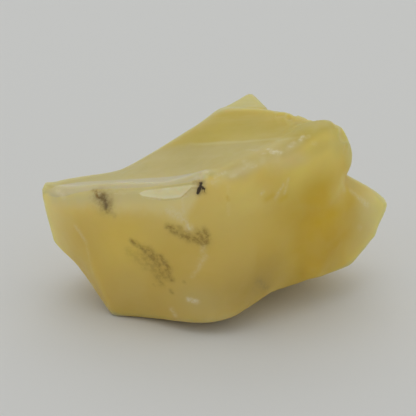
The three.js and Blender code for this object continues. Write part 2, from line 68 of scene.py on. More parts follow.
BREAKS = {
    "top_scoop": ([0, 0, 1], 0.01, [
        [-18.06, -4.29, 14.68], [-14.08, -5.89, 15.76], [-8.89, -7.99, 16.9], [-4, -9.49, 17.99], [-1.19, -10.19, 19.49],
        [1.39, -10.49, 19.96], [3.51, -10.39, 21.02], [6.08, -9.89, 22.17], [8.33, -9.19, 22.51], [10.03, -8.29, 23.22],
        [12.91, -6.19, 23.4], [-20.02, -2.29, 14.49], [-18.04, -0.29, 14.25], [-14.66, 2.21, 13.81], [-10.96, 3.91, 13.74],
        [-6.5, 5.31, 16.02], [-1.79, 5.91, 18.92], [1.26, 5.51, 21.02], [4.06, 4.91, 21.2], [6.25, 3.91, 21.47],
        [8.07, 2.11, 22.03], [10.32, 0.31, 21.19], [12.56, -1.09, 22.22], [13.78, -2.29, 22.84], [14.6, -4.29, 21.86],
        [-12.74, -2.09, 14.85], [-8.7, -1.79, 15.89], [-4.06, -3.49, 17.08], [-4.1, 1.31, 17.09], [-0.05, -4.89, 18.97],
        [-0.04, 0.31, 19.11], [-0.04, 3.31, 19.81], [3.93, -4.49, 20.15], [3.98, -0.89, 19.91], [4.02, 2.11, 20.5],
        [7.92, -3.79, 21.42], [9.62, -3.49, 22.6], [-7.61, 1.71, 15.84],
    ]),
    "front_left": ([-0.33, -0.944, 0], 0.01, [
        [-16.12, -5.89, 10.86], [-15.1, -6.29, 9.27], [-14.33, -6.59, 6.86], [-13.32, -7.09, 3.89], [-12.12, -7.19, 0],
        [-9.83, -8.14, 0.5], [-7.08, -9.29, 0.8], [-3.63, -11.28, 1.3], [-1.2, -12.09, 1.6], [0.26, -12.36, 1.9],
        [-13.13, -7.89, 13.45], [-10.25, -8.99, 13.96], [-7.4, -9.99, 14.31], [-4, -11.29, 13.92], [-0.06, -11.99, 14.26],
        [-12.04, -8.09, 10.14], [-8.57, -9.8, 10.96], [-4.01, -11.39, 11.1], [-0.06, -12.29, 11.53], [-10.95, -8.28, 5.78],
        [-7.46, -9.97, 6.62], [-3.46, -11.48, 7.37], [-0.06, -12.3, 7.76], [-1.18, -12.17, 4.54], [-16.65, -5.89, 12.89],
    ]),
    "front_upper": ([-0.169, -0.845, 0.507], 0.01, [
        [-18.08, -4.39, 14.68], [-14.1, -5.95, 15.7], [-8.9, -8.07, 16.86], [-4.01, -9.55, 17.96], [-1.2, -10.28, 19.41],
        [1.38, -10.55, 19.95], [3.49, -10.47, 20.96], [6.06, -10, 22.1], [8.31, -9.28, 22.52], [-18.67, -4.3, 13.42],
        [-16.05, -6.19, 13.41], [-13.13, -7.89, 13.45], [-10.25, -8.99, 13.96], [-7.4, -9.99, 14.31], [-4, -11.29, 13.92],
        [-0.06, -11.89, 14.21], [2.74, -11.69, 15.11], [6.13, -10.69, 15.13], [8.4, -9.29, 16.97], [3.85, -11.19, 17.84],
        [-0.63, -11.19, 16.61], [-6.27, -9.59, 15.87], [-11.42, -7.6, 14.94],
    ]),
    "front_right": ([0.447, -0.894, 0], 0.01, [
        [1.61, -12.18, 14.35], [3.88, -11.61, 14.07], [6.72, -10.19, 13.4], [9.62, -8.09, 12.41], [12.56, -6.08, 11.47],
        [1.85, -12.38, 10.96], [5.04, -11.1, 10.32], [8.5, -8.57, 9.11], [11.71, -6.21, 7.95], [2.76, -12.05, 6.4],
        [5.67, -10.24, 7.1], [8.59, -7.73, 6.38], [2.33, -11.75, 2.3], [3.53, -10.64, 2.7], [5.01, -9.58, 3.1],
        [6.53, -7.82, 3.2], [8.06, -6.07, 3.2], [9.93, -5.16, 3.3], [12.33, -4.99, 3.6], [13.92, -3.44, 4],
        [12.68, -5.64, 7.66], [8.4, -9.2, 16.92], [11.28, -7.25, 16.05], [13.04, -5.9, 14.83], [8.36, -9.3, 20.06],
        [11.53, -7.42, 19.87], [13.64, -5.82, 19.07], [10.07, -8.37, 23.05], [12.95, -6.26, 23.24], [14.52, -4.77, 16.03],
        [3.85, -11.49, 17.36], [6.12, -10.49, 16.28],
    ]),
    "right_nose": ([0.995, -0.1, 0], 0.01, [
        [14.79, -4.31, 22.05], [15.26, -3.91, 21.13], [15.21, -3.46, 19.34], [15.36, -3.36, 18.42], [15.73, -3.52, 17.34],
        [14.96, -3.68, 16.42], [14.36, -5.3, 22.36], [14.75, -4.79, 19.91], [15.12, -4.71, 18], [15.43, 0.71, 20.5],
        [15.24, 0.75, 17], [13.91, 0.78, 13.5], [14.1, 4.7, 18], [13.4, 4.74, 13],
    ]),
    "left_facet": ([-0.7, -0.7, -0.14], 0.01, [
        [-16.12, -5.89, 10.86], [-15.09, -6.28, 9.28], [-14.36, -6.63, 6.86], [-13.34, -7.1, 3.89], [-12.11, -6.94, -0.02],
        [-20.18, -2.44, 14.05], [-19.83, -1.95, 11.01], [-19.36, -1.58, 8.76], [-18.94, -1.36, 6.73], [-18.04, -1.81, 5.74],
        [-16.53, -2.41, 4.47], [-15.02, -3.43, 2.75], [-13.55, -5.21, 1.3], [-18.44, -4.07, 13.46], [-17.47, -4.39, 10.28],
        [-16.35, -4.7, 7.86], [-18.24, -4.46, 14.58],
    ]),
    "left_under": ([-0.727, 0.364, -0.582], 0.01, [
        [-18.99, -1.23, 6.64], [-17.99, -1.66, 5.72], [-16.44, -2.27, 4.47], [-14.91, -3.28, 2.75], [-13.45, -5.08, 1.32],
        [-12.08, -6.8, -0.06], [-11.53, -1.3, 0.01], [-9.35, 4.71, -0], [-16.82, 1.7, 5.72], [-13.34, 5.21, 3.4],
        [-12.05, 1.71, 0.9], [-14.27, 0.72, 2.98],
    ]),
    "back_left": ([-0.514, 0.857, 0], 0.01, [
        [-20.06, -2.22, 14.08], [-19.77, -1.89, 11.02], [-19.28, -1.48, 8.78], [-18.91, -1.2, 6.74], [-18.03, -0.31, 14.12],
        [-14.56, 2.04, 13.63], [-11.02, 4, 13.64], [-6.62, 5.5, 15.85], [-17.14, 1.7, 7.5], [-13.35, 5.21, 6],
        [-8.85, 7.71, 4], [-15.66, 2.12, 10.5], [-11.88, 5.07, 10], [-6.82, 7.66, 10],
    ]),
    "back_mid": ([-0.192, 0.962, 0.192], 0.02, [
        [-6.5, 5.3, 15.84], [-1.8, 5.98, 18.87], [1.24, 5.57, 21.01], [4.05, 4.96, 21.07], [-6.88, 7.84, 10.03],
        [-5.84, 8.94, 6.99], [-8.87, 7.81, 4.02], [-2.81, 8.72, 12.96], [2.15, 8.7, 16], [-0.86, 10.34, 8.01],
        [4.15, 9.71, 12], [-1.84, 9.16, 2.99], [5.16, 8.28, 19],
    ]),
    "back_right": ([0.498, 0.83, 0.249], 0.02, [
        [4.08, 4.96, 21.08], [6.32, 4.03, 21.26], [7.98, 1.97, 21.51], [10.58, 0.73, 21.76], [12.45, -1.29, 22.11],
        [13.67, -2.47, 22.07], [14.75, -4.04, 22.13], [8.19, 5.77, 17.02], [12.13, 3.67, 16.99], [14.8, 0.66, 16.92],
        [11.15, 6.71, 12], [14.17, 4.74, 12.01], [7.14, 8.7, 12], [10.15, 8.21, 6], [6.15, 8.11, 18],
    ]),
    "underside": ([0, 0, -1], 0.02, [
        [-9.87, -8.24, 0.33], [-7.07, -9.27, 0.64], [-3.6, -11.19, 1.1], [-1.19, -12.07, 1.41], [0.29, -12.28, 1.71],
        [2.24, -11.56, 2.03], [3.5, -10.59, 2.35], [4.89, -9.35, 2.81], [6.31, -7.38, 3.13], [8.08, -6.09, 2.94],
        [9.85, -5, 3.05], [11.85, -4.03, 3.44], [13.96, -3.53, 3.67], [15.74, -2.83, 4.23], [-12.35, -6.89, -0.49],
        [-6.85, -6.89, -0.21], [-0.85, -6.29, 0.02], [2.65, -3.29, 0.07], [4.65, 0.71, 0.05], [5.15, 4.71, -0.04],
        [9.15, 2.71, 1.92], [13.15, 2.71, 3.82], [17.15, 3.71, 6.46], [8.15, 7.71, 1.59], [13.15, 7.71, 4.58],
        [-10.85, -1.29, -0.43], [-5.85, 0.71, -0.6], [-0.85, 4.71, -0.5],
    ]),
    "lobe_front": ([0.514, -0.857, 0], 0.02, [
        [12.57, -4.61, 11.7], [13.18, -3.9, 13.86], [14.37, -3.12, 14.64], [15.82, -2.11, 13.16], [17.01, -1.24, 11.64],
        [16.94, -1.24, 10.1], [16.52, -1.58, 8.31], [15.94, -2.83, 5.38], [13.89, -4.25, 8.26], [15.08, -3.07, 10],
        [13.75, -3.18, 4], [13.04, -3.72, 5.43],
    ]),
    "lobe_side": ([0.816, -0.408, 0.408], 0.02, [
        [14.3, -3.06, 14.61], [15.87, -2.12, 13.19], [17.06, -1.3, 11.65], [17, -1.31, 10.12], [16.63, -1.64, 8.36],
        [15.63, -2.44, 5.33], [14.86, -0.14, 14.74], [17.05, 0.89, 13.27], [18.34, 1.6, 11.99], [20.2, 1.45, 10.36],
        [19.57, 0.85, 8.74], [18.04, 0.5, 6.57], [17.54, -0.75, 5.39], [15.87, -2.89, 4.57],
    ]),
    "lobe_back": ([0.498, 0.83, 0.249], 0.02, [
        [15.24, -0.16, 14.93], [17.05, 1.08, 13.22], [18.59, 1.8, 12.02], [20.25, 1.94, 10.28], [19.23, 0.89, 8.36],
        [13.18, 6.25, 11.01], [16.21, 5.31, 8.03], [16.23, 3.01, 5.29], [11.19, 8.37, 8.02], [10.14, 7.2, 13],
    ]),
    "spur_left": ([-0.8, 0.6, 0], 0.02, [
        [0.99, 6.94, 20.28], [1.67, 8.26, 20.11], [2.53, 9.26, 20.04], [3.21, 10.69, 20.07], [3.98, 11.84, 20.06],
        [1.65, 11.11, 16], [0.12, 11.13, 12], [-2.85, 10.11, 8], [-1.82, 9.48, 13],
    ]),
    "spur_right": ([0.8, 0.6, 0], 0.02, [
        [4.3, 11.82, 20.06], [4.79, 10.86, 19.82], [5.36, 9.56, 19.48], [5.82, 8, 19.43], [6.67, 10.73, 15],
        [9.14, 9.3, 11], [10.16, 8.72, 8], [7.42, 9.16, 15],
    ]),
    "spur_back": ([0, 1, 0], 0.05, [
        [4.05, 11.95, 19.7], [3.85, 12.21, 15], [3.65, 12.21, 10], [3.15, 11.31, 5], [2.65, 9.71, 1],
        [-4.85, 10.21, 8], [10.15, 9.71, 9],
    ]),
}


# ------------------------------------------------------------------ fracture surfaces
def plate(r2):
    return 0.5 * r2 * np.log(r2 + 1e-12)


class Sheet:
    """A thin plate sheet stretched through points of one break; height() is positive outside."""

    def __init__(self, out, slack, points):
        n = np.array(out, float)
        n /= np.linalg.norm(n)
        ref = np.array([0, 0, 1.0]) if abs(n[2]) < 0.75 else np.array([1.0, 0, 0])
        t1 = np.cross(ref, n)
        t1 /= np.linalg.norm(t1)
        t2 = np.cross(n, t1)
        pts = np.array(points, float)
        c = pts.mean(0)
        q = pts - c
        u = np.stack([q @ t1, q @ t2], 1) / UNIT
        m = len(pts)
        K = plate(((u[:, None] - u[None]) ** 2).sum(-1)) + slack * np.eye(m)
        A = np.zeros((m + 3, m + 3))
        A[:m, :m] = K
        A[:m, m] = A[m, :m] = 1
        A[:m, m + 1:] = u
        A[m + 1:, :m] = u.T
        w = np.linalg.solve(A, np.concatenate([q @ n, np.zeros(3)]))
        self.n, self.t1, self.t2, self.c, self.u, self.w = n, t1, t2, c, u, w

    def height(self, p):
        q = p - self.c
        s, t, h = q @ self.t1 / UNIT, q @ self.t2 / UNIT, q @ self.n
        w = self.w
        m = len(self.u)
        v = w[m] + w[m + 1] * s + w[m + 2] * t
        gs = np.full_like(s, w[m + 1])
        gt = np.full_like(s, w[m + 2])
        for (us, ut), k in zip(self.u, w[:m]):
            ds, dt = s - us, t - ut
            r2 = ds * ds + dt * dt
            L = np.log(r2 + 1e-9)
            v += k * 0.5 * r2 * L
            L += 1
            L *= k
            gs += L * ds
            gt += L * dt
        return (h - v) / np.sqrt(1 + (gs * gs + gt * gt) / UNIT ** 2)


class Cut:
    def __init__(self, at, out):
        self.n = np.array(out, float)
        self.n /= np.linalg.norm(self.n)
        self.d = self.n @ np.array(at, float)

    def height(self, p):
        return p @ self.n - self.d


SIDE = {k: Sheet(*v) for k, v in BREAKS.items()}
SIDE.update({k: Cut(*v) for k, v in CUTS.items()})


def both(a, b, k):
    h = np.maximum(k - np.abs(a - b), 0) / k
    return np.maximum(a, b) + h * h * k * 0.25


def either(a, b, k):
    return -both(-a, -b, k)


def body_skin(p):
    h = {k: s.height(p) for k, s in SIDE.items()}
    under = h["underside"]
    body = both(h["front_left"], h["front_right"], WORN["f"])
    body = both(body, h["front_upper"], WORN["fu"])
    body = both(body, h["left_facet"], WORN["l"])
    body = both(body, h["right_nose"], WORN["nose"])
    body = both(body, h["back_left"], WORN["bl"])
    body = both(body, h["back_mid"], WORN["bm"])
    body = both(body, h["back_right"], WORN["br"])
    body = both(body, h["top_scoop"], WORN["t"])
    body = both(body, under, WORN["u"])
    lobe = both(h["lobe_front"], h["lobe_side"], WORN["n12"])
    lobe = both(lobe, h["lobe_back"], WORN["n4"])
    lobe = both(lobe, h["lobe_in"], 1.0)
    lobe = both(lobe, h["lobe_top"], 0.6)
    lobe = both(lobe, under, 0.4)
    spur = both(h["spur_left"], h["spur_right"], 0.4)
    spur = both(spur, h["spur_back"], 0.6)
    spur = both(spur, h["spur_top"], 0.3)
    spur = both(spur, h["spur_in"], 0.6)
    spur = both(spur, under, 0.6)
    f = either(body, lobe, 1.4)
    f = either(f, spur, 0.5)
    f = both(f, h["left_under"], WORN["lu"])
    return both(f, h["base"], 0.25)


# ------------------------------------------------------------------ noise
_rng = np.random.default_rng(20)
_PERM = np.concatenate([_rng.permutation(256)] * 3)
_GRAD = _rng.normal(size=(256, 3))
_GRAD /= np.linalg.norm(_GRAD, axis=1, keepdims=True)


def noise(p):
    """Gradient noise, about -1 to 1."""
    i = np.floor(p).astype(int)
    f = p - i
    i &= 255
    u = f * f * f * (f * (f * 6 - 15) + 10)
    out = 0
    for dx in (0, 1):
        wx = u[:, 0] if dx else 1 - u[:, 0]
        for dy in (0, 1):
            wy = u[:, 1] if dy else 1 - u[:, 1]
            for dz in (0, 1):
                wz = u[:, 2] if dz else 1 - u[:, 2]
                h = _PERM[_PERM[_PERM[i[:, 0] + dx] + i[:, 1] + dy] + i[:, 2] + dz]
                g = _GRAD[h]
                d = (f - (dx, dy, dz)) * g
                out = out + wx * wy * wz * d.sum(1)
    return out * 1.6


def fbm(p, size, octaves=3, gain=0.5):
    a, out, k = 1.0, 0.0, 1.0 / size
    for o in range(octaves):
        out = out + a * noise(p * k + 17.3 * o)
        a *= gain
        k *= 2.03
    return out


def smooth(lo, hi, x):
    t = np.clip((x - lo) / (hi - lo), 0, 1)
    return t * t * (3 - 2 * t)


def near(p, at, size):
    """1 at a place, falling to 0 at size (mm, or one size per axis)."""
    d = (p - np.array(at, float)) / np.array(size, float)
    return np.exp(-2.2 * (d * d).sum(1))


def near_line(p, a, b, r):
    a, b = np.array(a, float), np.array(b, float)
    t = np.clip(((p - a) @ (b - a)) / ((b - a) @ (b - a)), 0, 1)
    d = np.linalg.norm(p - a - t[:, None] * (b - a), axis=1) / r
    return np.exp(-2.2 * d * d)


# ------------------------------------------------------------------ small features of the skin (mm)
# The long edge where the hollow top meets the front, from the left corner to the right crest.
RIM = np.array([
    [-18.1, -4.2, 14.5], [-16.1, -5.25, 15.05], [-14.1, -6.0, 15.6], [-12.0, -6.8, 16.0],
    [-10.3, -7.5, 16.4], [-8.9, -8.1, 16.7], [-7.4, -8.6, 17.0], [-5.7, -9.1, 17.4],
    [-4.0, -9.6, 17.85], [-2.65, -9.95, 18.5], [-1.2, -10.25, 19.25], [0.05, -10.4, 19.6],
    [1.4, -10.5, 19.9], [2.5, -10.5, 20.35], [3.5, -10.45, 20.8], [4.75, -10.25, 21.3],
    [6.1, -9.85, 21.9], [7.2, -9.4, 22.15], [8.35, -8.95, 22.4], [9.25, -8.6, 22.7],
    [10.0, -8.2, 22.95], [11.5, -7.35, 23.2], [12.9, -6.2, 23.1]])
# The back of the right crest, and the edge running down from it to the back spur.
CREST = np.array([
    [7.5, 1.6, 21.65], [8.3, 1.3, 21.7], [9.0, 1.0, 21.5], [10.2, 1.0, 21.3], [10.9, -0.2, 21.5],
    [11.7, -3.2, 22.8], [12.5, -3.0, 22.8], [13.3, -3.0, 22.7], [14.2, -3.85, 22.2], [14.7, -4.1, 21.5],
    [15.1, -3.5, 20.0], [15.4, -2.8, 18.8]])


# Edges behind and below: foot of the left end, spur, foot of the lobe.
FAR_EDGES = [
    np.array([[-18.9, -1.5, 6.9], [-16.9, 1.5, 5.7], [-14.5, 4.0, 4.2], [-12.0, 6.0, 2.6], [-7.5, 8.5, 0.1]]),
    np.array([[4.3, 11.8, 19.6], [5.3, 11.8, 17.0], [6.1, 11.8, 14.5], [7.8, 10.9, 12.2]]),
    np.array([[12.4, 7.2, 3.6], [14.5, 5.7, 5.4], [16.3, 3.0, 5.8], [18.0, 1.4, 6.4]])]
# Rings left by the breaks on those sides: side, where they spread from, spacing, height.
RINGS = [
    ("back_left", [-5.0, 7.0, 15.6], 2.3, 0.062), ("back_mid", [5.0, 6.6, 20.5], 1.7, 0.044),
    ("back_right", [9.0, 3.0, 21.5], 2.2, 0.054), ("lobe_back", [13.0, 4.0, 14.5], 1.9, 0.046),
    ("underside", [1.0, -12.0, 1.6], 2.6, 0.062), ("left_under", [-20.5, -1.2, 8.8], 1.9, 0.040),
    ("spur_back", [5.0, 12.0, 19.8], 1.9, 0.036), ("spur_right", [4.6, 11.8, 20.0], 1.6, 0.036)]

# Lines across the front as [x, height seen from 25 degrees above the front].
# upper edge of the pale bevel
LIP_TOP = np.array([[-19, 11.49], [-18.53, 11.77], [-17.61, 12.01], [-16.17, 12.22], [-14.44, 12.37], [-12.1, 12.49],
    [-9.76, 12.59], [-7.45, 12.71], [-5.16, 12.86], [-3.45, 13.1], [-2.09, 13.35], [-1.08, 13.62]])
# its crisp lower edge
LIP_LOW = np.array([[-18.89, 10.8], [-18.17, 10.63], [-17.09, 10.8], [-16.03, 11.13], [-14.75, 11.36], [-13.48, 11.55], [-11.98, 11.61],
    [-10.25, 11.67], [-8.53, 11.73], [-6.83, 11.88], [-5.13, 12.04], [-3.43, 12.24], [-2.2, 12.59], [-1.08, 12.75]])
# upper edge of the long flake
CHIP_TOP = np.array([[-8.76, 11.1], [-8.08, 11.4], [-7.17, 11.52], [-5.92, 11.65], [-4.56, 11.81], [-3.55, 11.98], [-2.76, 12.01]])
# its lower lip
CHIP_LOW = np.array([[-8.76, 11.03], [-8.3, 10.78], [-7.17, 10.6], [-5.81, 10.43],
    [-4.9, 10.51], [-4, 10.64], [-3.43, 11.11], [-2.76, 11.78]])
# where the painted sheen of the shoulder ends
SHADE_LOW = np.array([[-19.52, 10.58], [-18.56, 10], [-17.58, 9.77], [-16.04, 9.65], [-13.71, 9.54], [-11.74, 9.03], [-9.68, 9.15],
    [-7.4, 8.97], [-5.69, 8.75], [-4, 7.85], [-3.1, 8.75], [-2.54, 9.76], [-1.97, 10.78], [-1.08, 11.66]])
# pale arcs across the top
ARC_1 = np.array([[-4.35, 16.89], [-2.12, 16.96], [3.39, 17.16], [8.37, 17.24]])
ARC_2 = np.array([[-7.52, 13.8], [-2.33, 14.09], [2.18, 14.47]])
ARC_3 = np.array([[1.48, 21.03], [3.46, 21.08], [5.48, 21.08]])


def lift(p):
    return 0.4226 * p[:, 1] + 0.9063 * p[:, 2]


def over(p, line):
    """How far a point lies above a line drawn across the front."""
    return lift(p) - np.interp(p[:, 0], line[:, 0], line[:, 1])


def faces_front(p):
    """1 on the skin that looks forward or up, 0 behind and below."""
    g = slope(body_skin, p, 0.3)
    return smooth(0.02, 0.25, (0.4226 * g[:, 2] - 0.9063 * g[:, 1]) / np.maximum(np.linalg.norm(g, axis=1), 1e-9))


def skin(p):
    """The breaks again, with the long edge bevelled on the left and worn round on the right."""
    h = {k: s.height(p) for k, s in SIDE.items()}
    x = p[:, 0]
    front = both(h["front_left"], h["front_right"], WORN["f"])
    front = both(front, h["front_upper"], WORN["fu"])
    front = both(front, h["left_facet"], 0.3)
    front = both(front, h["right_nose"], WORN["nose"])
    top = h["top_scoop"]
    left = 1 - smooth(-1.8, 0.6, x)
    top = top - 0.30 * left * smooth(-2.4, -0.3, front)
    k = 0.3 + 3.5 * smooth(-1.2, 3.4, x) - 1.4 * smooth(8.5, 11.5, x)
    body = both(front, top, k)
    body = both(body, 0.6 * (front + top) + 0.42 - 4 * (1 - left), 0.12)
    body = both(body, h["back_left"], WORN["bl"])
    body = both(body, h["back_mid"], WORN["bm"])
    body = both(body, h["back_right"], WORN["br"])
    body = both(body, h["underside"], WORN["u"])
    lobe = both(h["lobe_front"], h["lobe_side"], 0.45)
    lobe = both(lobe, h["lobe_back"], max(WORN["n4"], 0.45))
    lobe = both(lobe, h["lobe_in"], 1.0)
    lobe = both(lobe, h["lobe_top"], 0.6)
    lobe = both(lobe, h["underside"], 0.4)
    spur = both(h["spur_left"], h["spur_right"], 0.4)
    spur = both(spur, h["spur_back"], 0.6)
    spur = both(spur, h["spur_top"], 0.3)
    spur = both(spur, h["spur_in"], 0.6)
    spur = both(spur, h["underside"], 0.6)
    z = p[:, 2]
    f = either(body, lobe, 1.0 + 2.4 * smooth(2.2, 6.0, z) * (1 - smooth(11.5, 14.0, z)))
    f = either(f, spur, 0.9)
    f = both(f, h["left_under"], WORN["lu"])
    return both(f, h["base"], 0.25)


def bite(p, at, out, width, depth, along=None, stretch=1.0):
    """Flake scar: points inside a ball (drawn out along one way) move onto its shell."""
    at, out = np.array(at, float), np.array(out, float)
    out = out / np.linalg.norm(out)
    R = width * width / (8 * depth) + depth / 2
    q = p - (at + out * (R - depth))
    if along is not None:
        a = np.array(along, float)
        a -= out * (a @ out)
        a /= np.linalg.norm(a)
        q = q - np.outer(q @ a, a) * (1 - 1 / stretch)
    d = np.linalg.norm(q, axis=1)
    hit = d < R
    move = q * (R / np.maximum(d, 1e-6) - 1)[:, None]
    if along is not None:
        move = move + np.outer(move @ a, a) * (stretch - 1)
    p[hit] += move[hit]
    return hit.astype(float)


def on_line(line, t):
    seg = np.linalg.norm(np.diff(line, axis=0), axis=1)
    s = np.concatenate([[0], np.cumsum(seg)]) / seg.sum()
    at = np.array([np.interp(t, s, line[:, k]) for k in range(3)])
    way = np.array([np.interp(min(t + 0.02, 1), s, line[:, k]) - np.interp(max(t - 0.02, 0), s, line[:, k]) for k in range(3)])
    return at, way / np.linalg.norm(way)


def outward(at):
    q = np.array([at], float)
    g = slope(body_skin, q, 0.5)[0]
    return g / np.linalg.norm(g)


def flakes(p, mark, rng, line, lo, hi, count, width, depth, spread, tilt):
    """Shallow overlapping flake scars scattered along an edge."""
    for t in np.linspace(lo, hi, count):
        at, way = on_line(line, np.clip(t + 0.4 * (hi - lo) / count * rng.uniform(-1, 1), 0, 1))
        out = outward(at)
        at = at + spread * rng.uniform(-1, 1) * np.cross(way, out) + 0.2 * rng.normal(size=3)
        at = to_skin(skin, np.array([at]), 3)[0]
        out = 0.5 * out + 0.5 * slope(skin, at[None], 0.1)[0] + tilt * rng.normal(size=3)
        w = width * rng.uniform(0.6, 1.3)
        hit = bite(p, at, out, w, depth * rng.uniform(0.6, 1.2), way + 0.8 * rng.normal(size=3), rng.uniform(1.0, 2.2))
        mark += hit * rng.uniform(0.4, 1.0)


def chips(p):
    rng = np.random.default_rng(7)
    mark = np.zeros(len(p))
    # small steps left standing on the back of the crest
    for at, r, tall in (([8.2, 1.2, 21.6], 0.8, 0.14), ([9.9, 1.0, 21.4], 0.8, 0.24), ([11.2, 0.2, 21.5], 0.8, 0.22), ([7.2, 1.6, 21.6], 0.8, 0.06)):
        d = np.linalg.norm((p - at) / [r, 2.4, 1.6], axis=1)
        p += (tall * (1 - smooth(0.45, 1.05, d)))[:, None] * np.array([0.0, 0.15, 0.99])
    # the crest stands square at its right end
    d = np.linalg.norm((p - [14.6, -4.2, 22.0]) / [1.7, 3.2, 1.9], axis=1)
    p += (0.34 * (1 - smooth(0.2, 1.0, d)))[:, None] * np.array([0.75, 0.0, 0.66])
    d = np.linalg.norm((p - [13.1, -4.5, 23.0]) / [1.5, 3.0, 1.6], axis=1)
    p += (0.13 * (1 - smooth(0.2, 1.0, d)))[:, None] * np.array([0.35, 0.0, 0.94])
    # and the foot of the lobe is a little full
    d = np.linalg.norm((p - [18.1, 0.6, 6.4]) / [2.6, 3.0, 2.4], axis=1)
    p += (0.13 * (1 - smooth(0.2, 1.0, d)))[:, None] * np.array([0.75, 0.0, -0.66])
    # the long bright flake just under the bevelled edge
    at = to_skin(skin, np.array([[-5.75, -9.6, 16.75]]), 3)[0]
    mark += 2 * bite(p, at, [-0.33, -0.88, 0.36], 1.5, 0.18, [0.94, -0.31, 0.17], 4.4)
    # nicks along the crest, light wear along the sharp half of the long edge
    flakes(p, mark, rng, CREST, 0.0, 0.35, 5, 0.6, 0.05, 0.1, 0.1)
    flakes(p, mark, rng, CREST, 0.4, 0.98, 7, 0.8, 0.035, 0.2, 0.15)
    flakes(p, mark, rng, RIM, 0.03, 0.5, 5, 1.1, 0.03, 0.2, 0.08)
    for line, lo, count in zip(FAR_EDGES, (0.35, 0.1, 0.2), (5, 4, 4)):
        flakes(p, mark, rng, line, lo, 0.94, count, 1.1, 0.09, 0.1, 0.15)
    return mark


def ledge(p):
    """The bevel stands a hair proud of the shoulder under it."""
    x = p[:, 0]
    below = -over(p, LIP_LOW)
    on = smooth(-17.5, -14.5, x) * (1 - smooth(-3.2, -1.8, x)) * faces_front(p)
    return -0.06 * on * smooth(-0.05, 0.22, below) * np.exp(-np.maximum(below, 0) / 0.8)


def relief(p):
    out = 0.035 * fbm(p, 5.0, 2) + 0.010 * fbm(p + 31, 1.8, 2)
    # arcs that the break left across the hollow top
    top = smooth(0.5, 0.85, slope(body_skin, p)[:, 2]) * smooth(12.0, 14.0, p[:, 2])
    u = lift(p) - 0.05 * p[:, 0] + 0.25 * noise(p * 0.12) + 0.06 * noise(p * 0.5)
    arcs = np.sin(u * 2 * math.pi / 1.7 + 0.4) + 0.6 * np.sin(u * 2 * math.pi / 0.93 + 1.3)
    out = out + top * 0.004 * arcs * (0.5 + 0.5 * noise(p * [0.1, 0.35, 0.1] + 9))
    # faint hackle lines fanning down from the right of the long edge
    fan = np.arctan2(p[:, 0] - 9.5, p[:, 2] - 30.0)
    hackle = near(p, [6.8, -9.8, 17.0], [2.6, 3.0, 2.6])
    out = out + 0.03 * hackle * noise(np.stack([fan * 60, p[:, 2] * 0.3, p[:, 1] * 0.2], 1))
    # rings on the sides turned away, each set spreading from one place and dying out
    g = slope(body_skin, p)
    for name, at, gap, tall in RINGS:
        on = smooth(0.62, 0.88, g @ SIDE[name].n)
        d = np.linalg.norm(p - at, axis=1) + 0.5 * noise(p * 0.16 + 3)
        ring = 0.5 + 0.5 * np.sin(d * 2 * math.pi / gap * (1 + 0.03 * d))
        out = out - tall * on * ring * smooth(1.5, 4.5, d) * (1 - smooth(9.0, 17.0, d)) * (0.4 + 0.6 * smooth(-0.5, 0.5, noise(p * 0.22)))
    # and a fine unevenness there
    back = smooth(0.0, 0.3, np.maximum(g[:, 1], -g[:, 2]))
    out = out + 0.010 * back * fbm(p + 57, 1.1, 2)
    return out + ledge(p) + 0.02


def bulge(p, g, ev, deg, rounds=24):
    """How far each point stands out of its own surroundings (mm); large along sharp edges."""
    q = p.copy()
    n = len(p)
    for _ in range(rounds):
        mid = np.zeros_like(q)
        for k in range(3):
            mid[:, k] = np.bincount(ev[:, 0], q[ev[:, 1], k], n) + np.bincount(ev[:, 1], q[ev[:, 0], k], n)
        q += 0.5 * (mid / deg[:, None] - q)
    return ((p - q) * g).sum(1)


def slope(fn, p, e=0.02):
    g = np.empty_like(p)
    for k in range(3):
        d = np.zeros(3)
        d[k] = e
        g[:, k] = (fn(p + d) - fn(p - d)) / (2 * e)
    return g


def in_parts(fn, p, size=40000):
    return np.concatenate([fn(p[i:i + size]) for i in range(0, len(p), size)])


def to_skin(fn, p, rounds):
    for _ in range(rounds):
        g = slope(fn, p)
        f = fn(p)
        step = f / np.maximum((g * g).sum(1), 0.3)
        step = np.clip(step, -0.4, 0.4)
        p = p - g * step[:, None]
    return p


# ------------------------------------------------------------------ the lump's mesh
VOXEL = 0.195


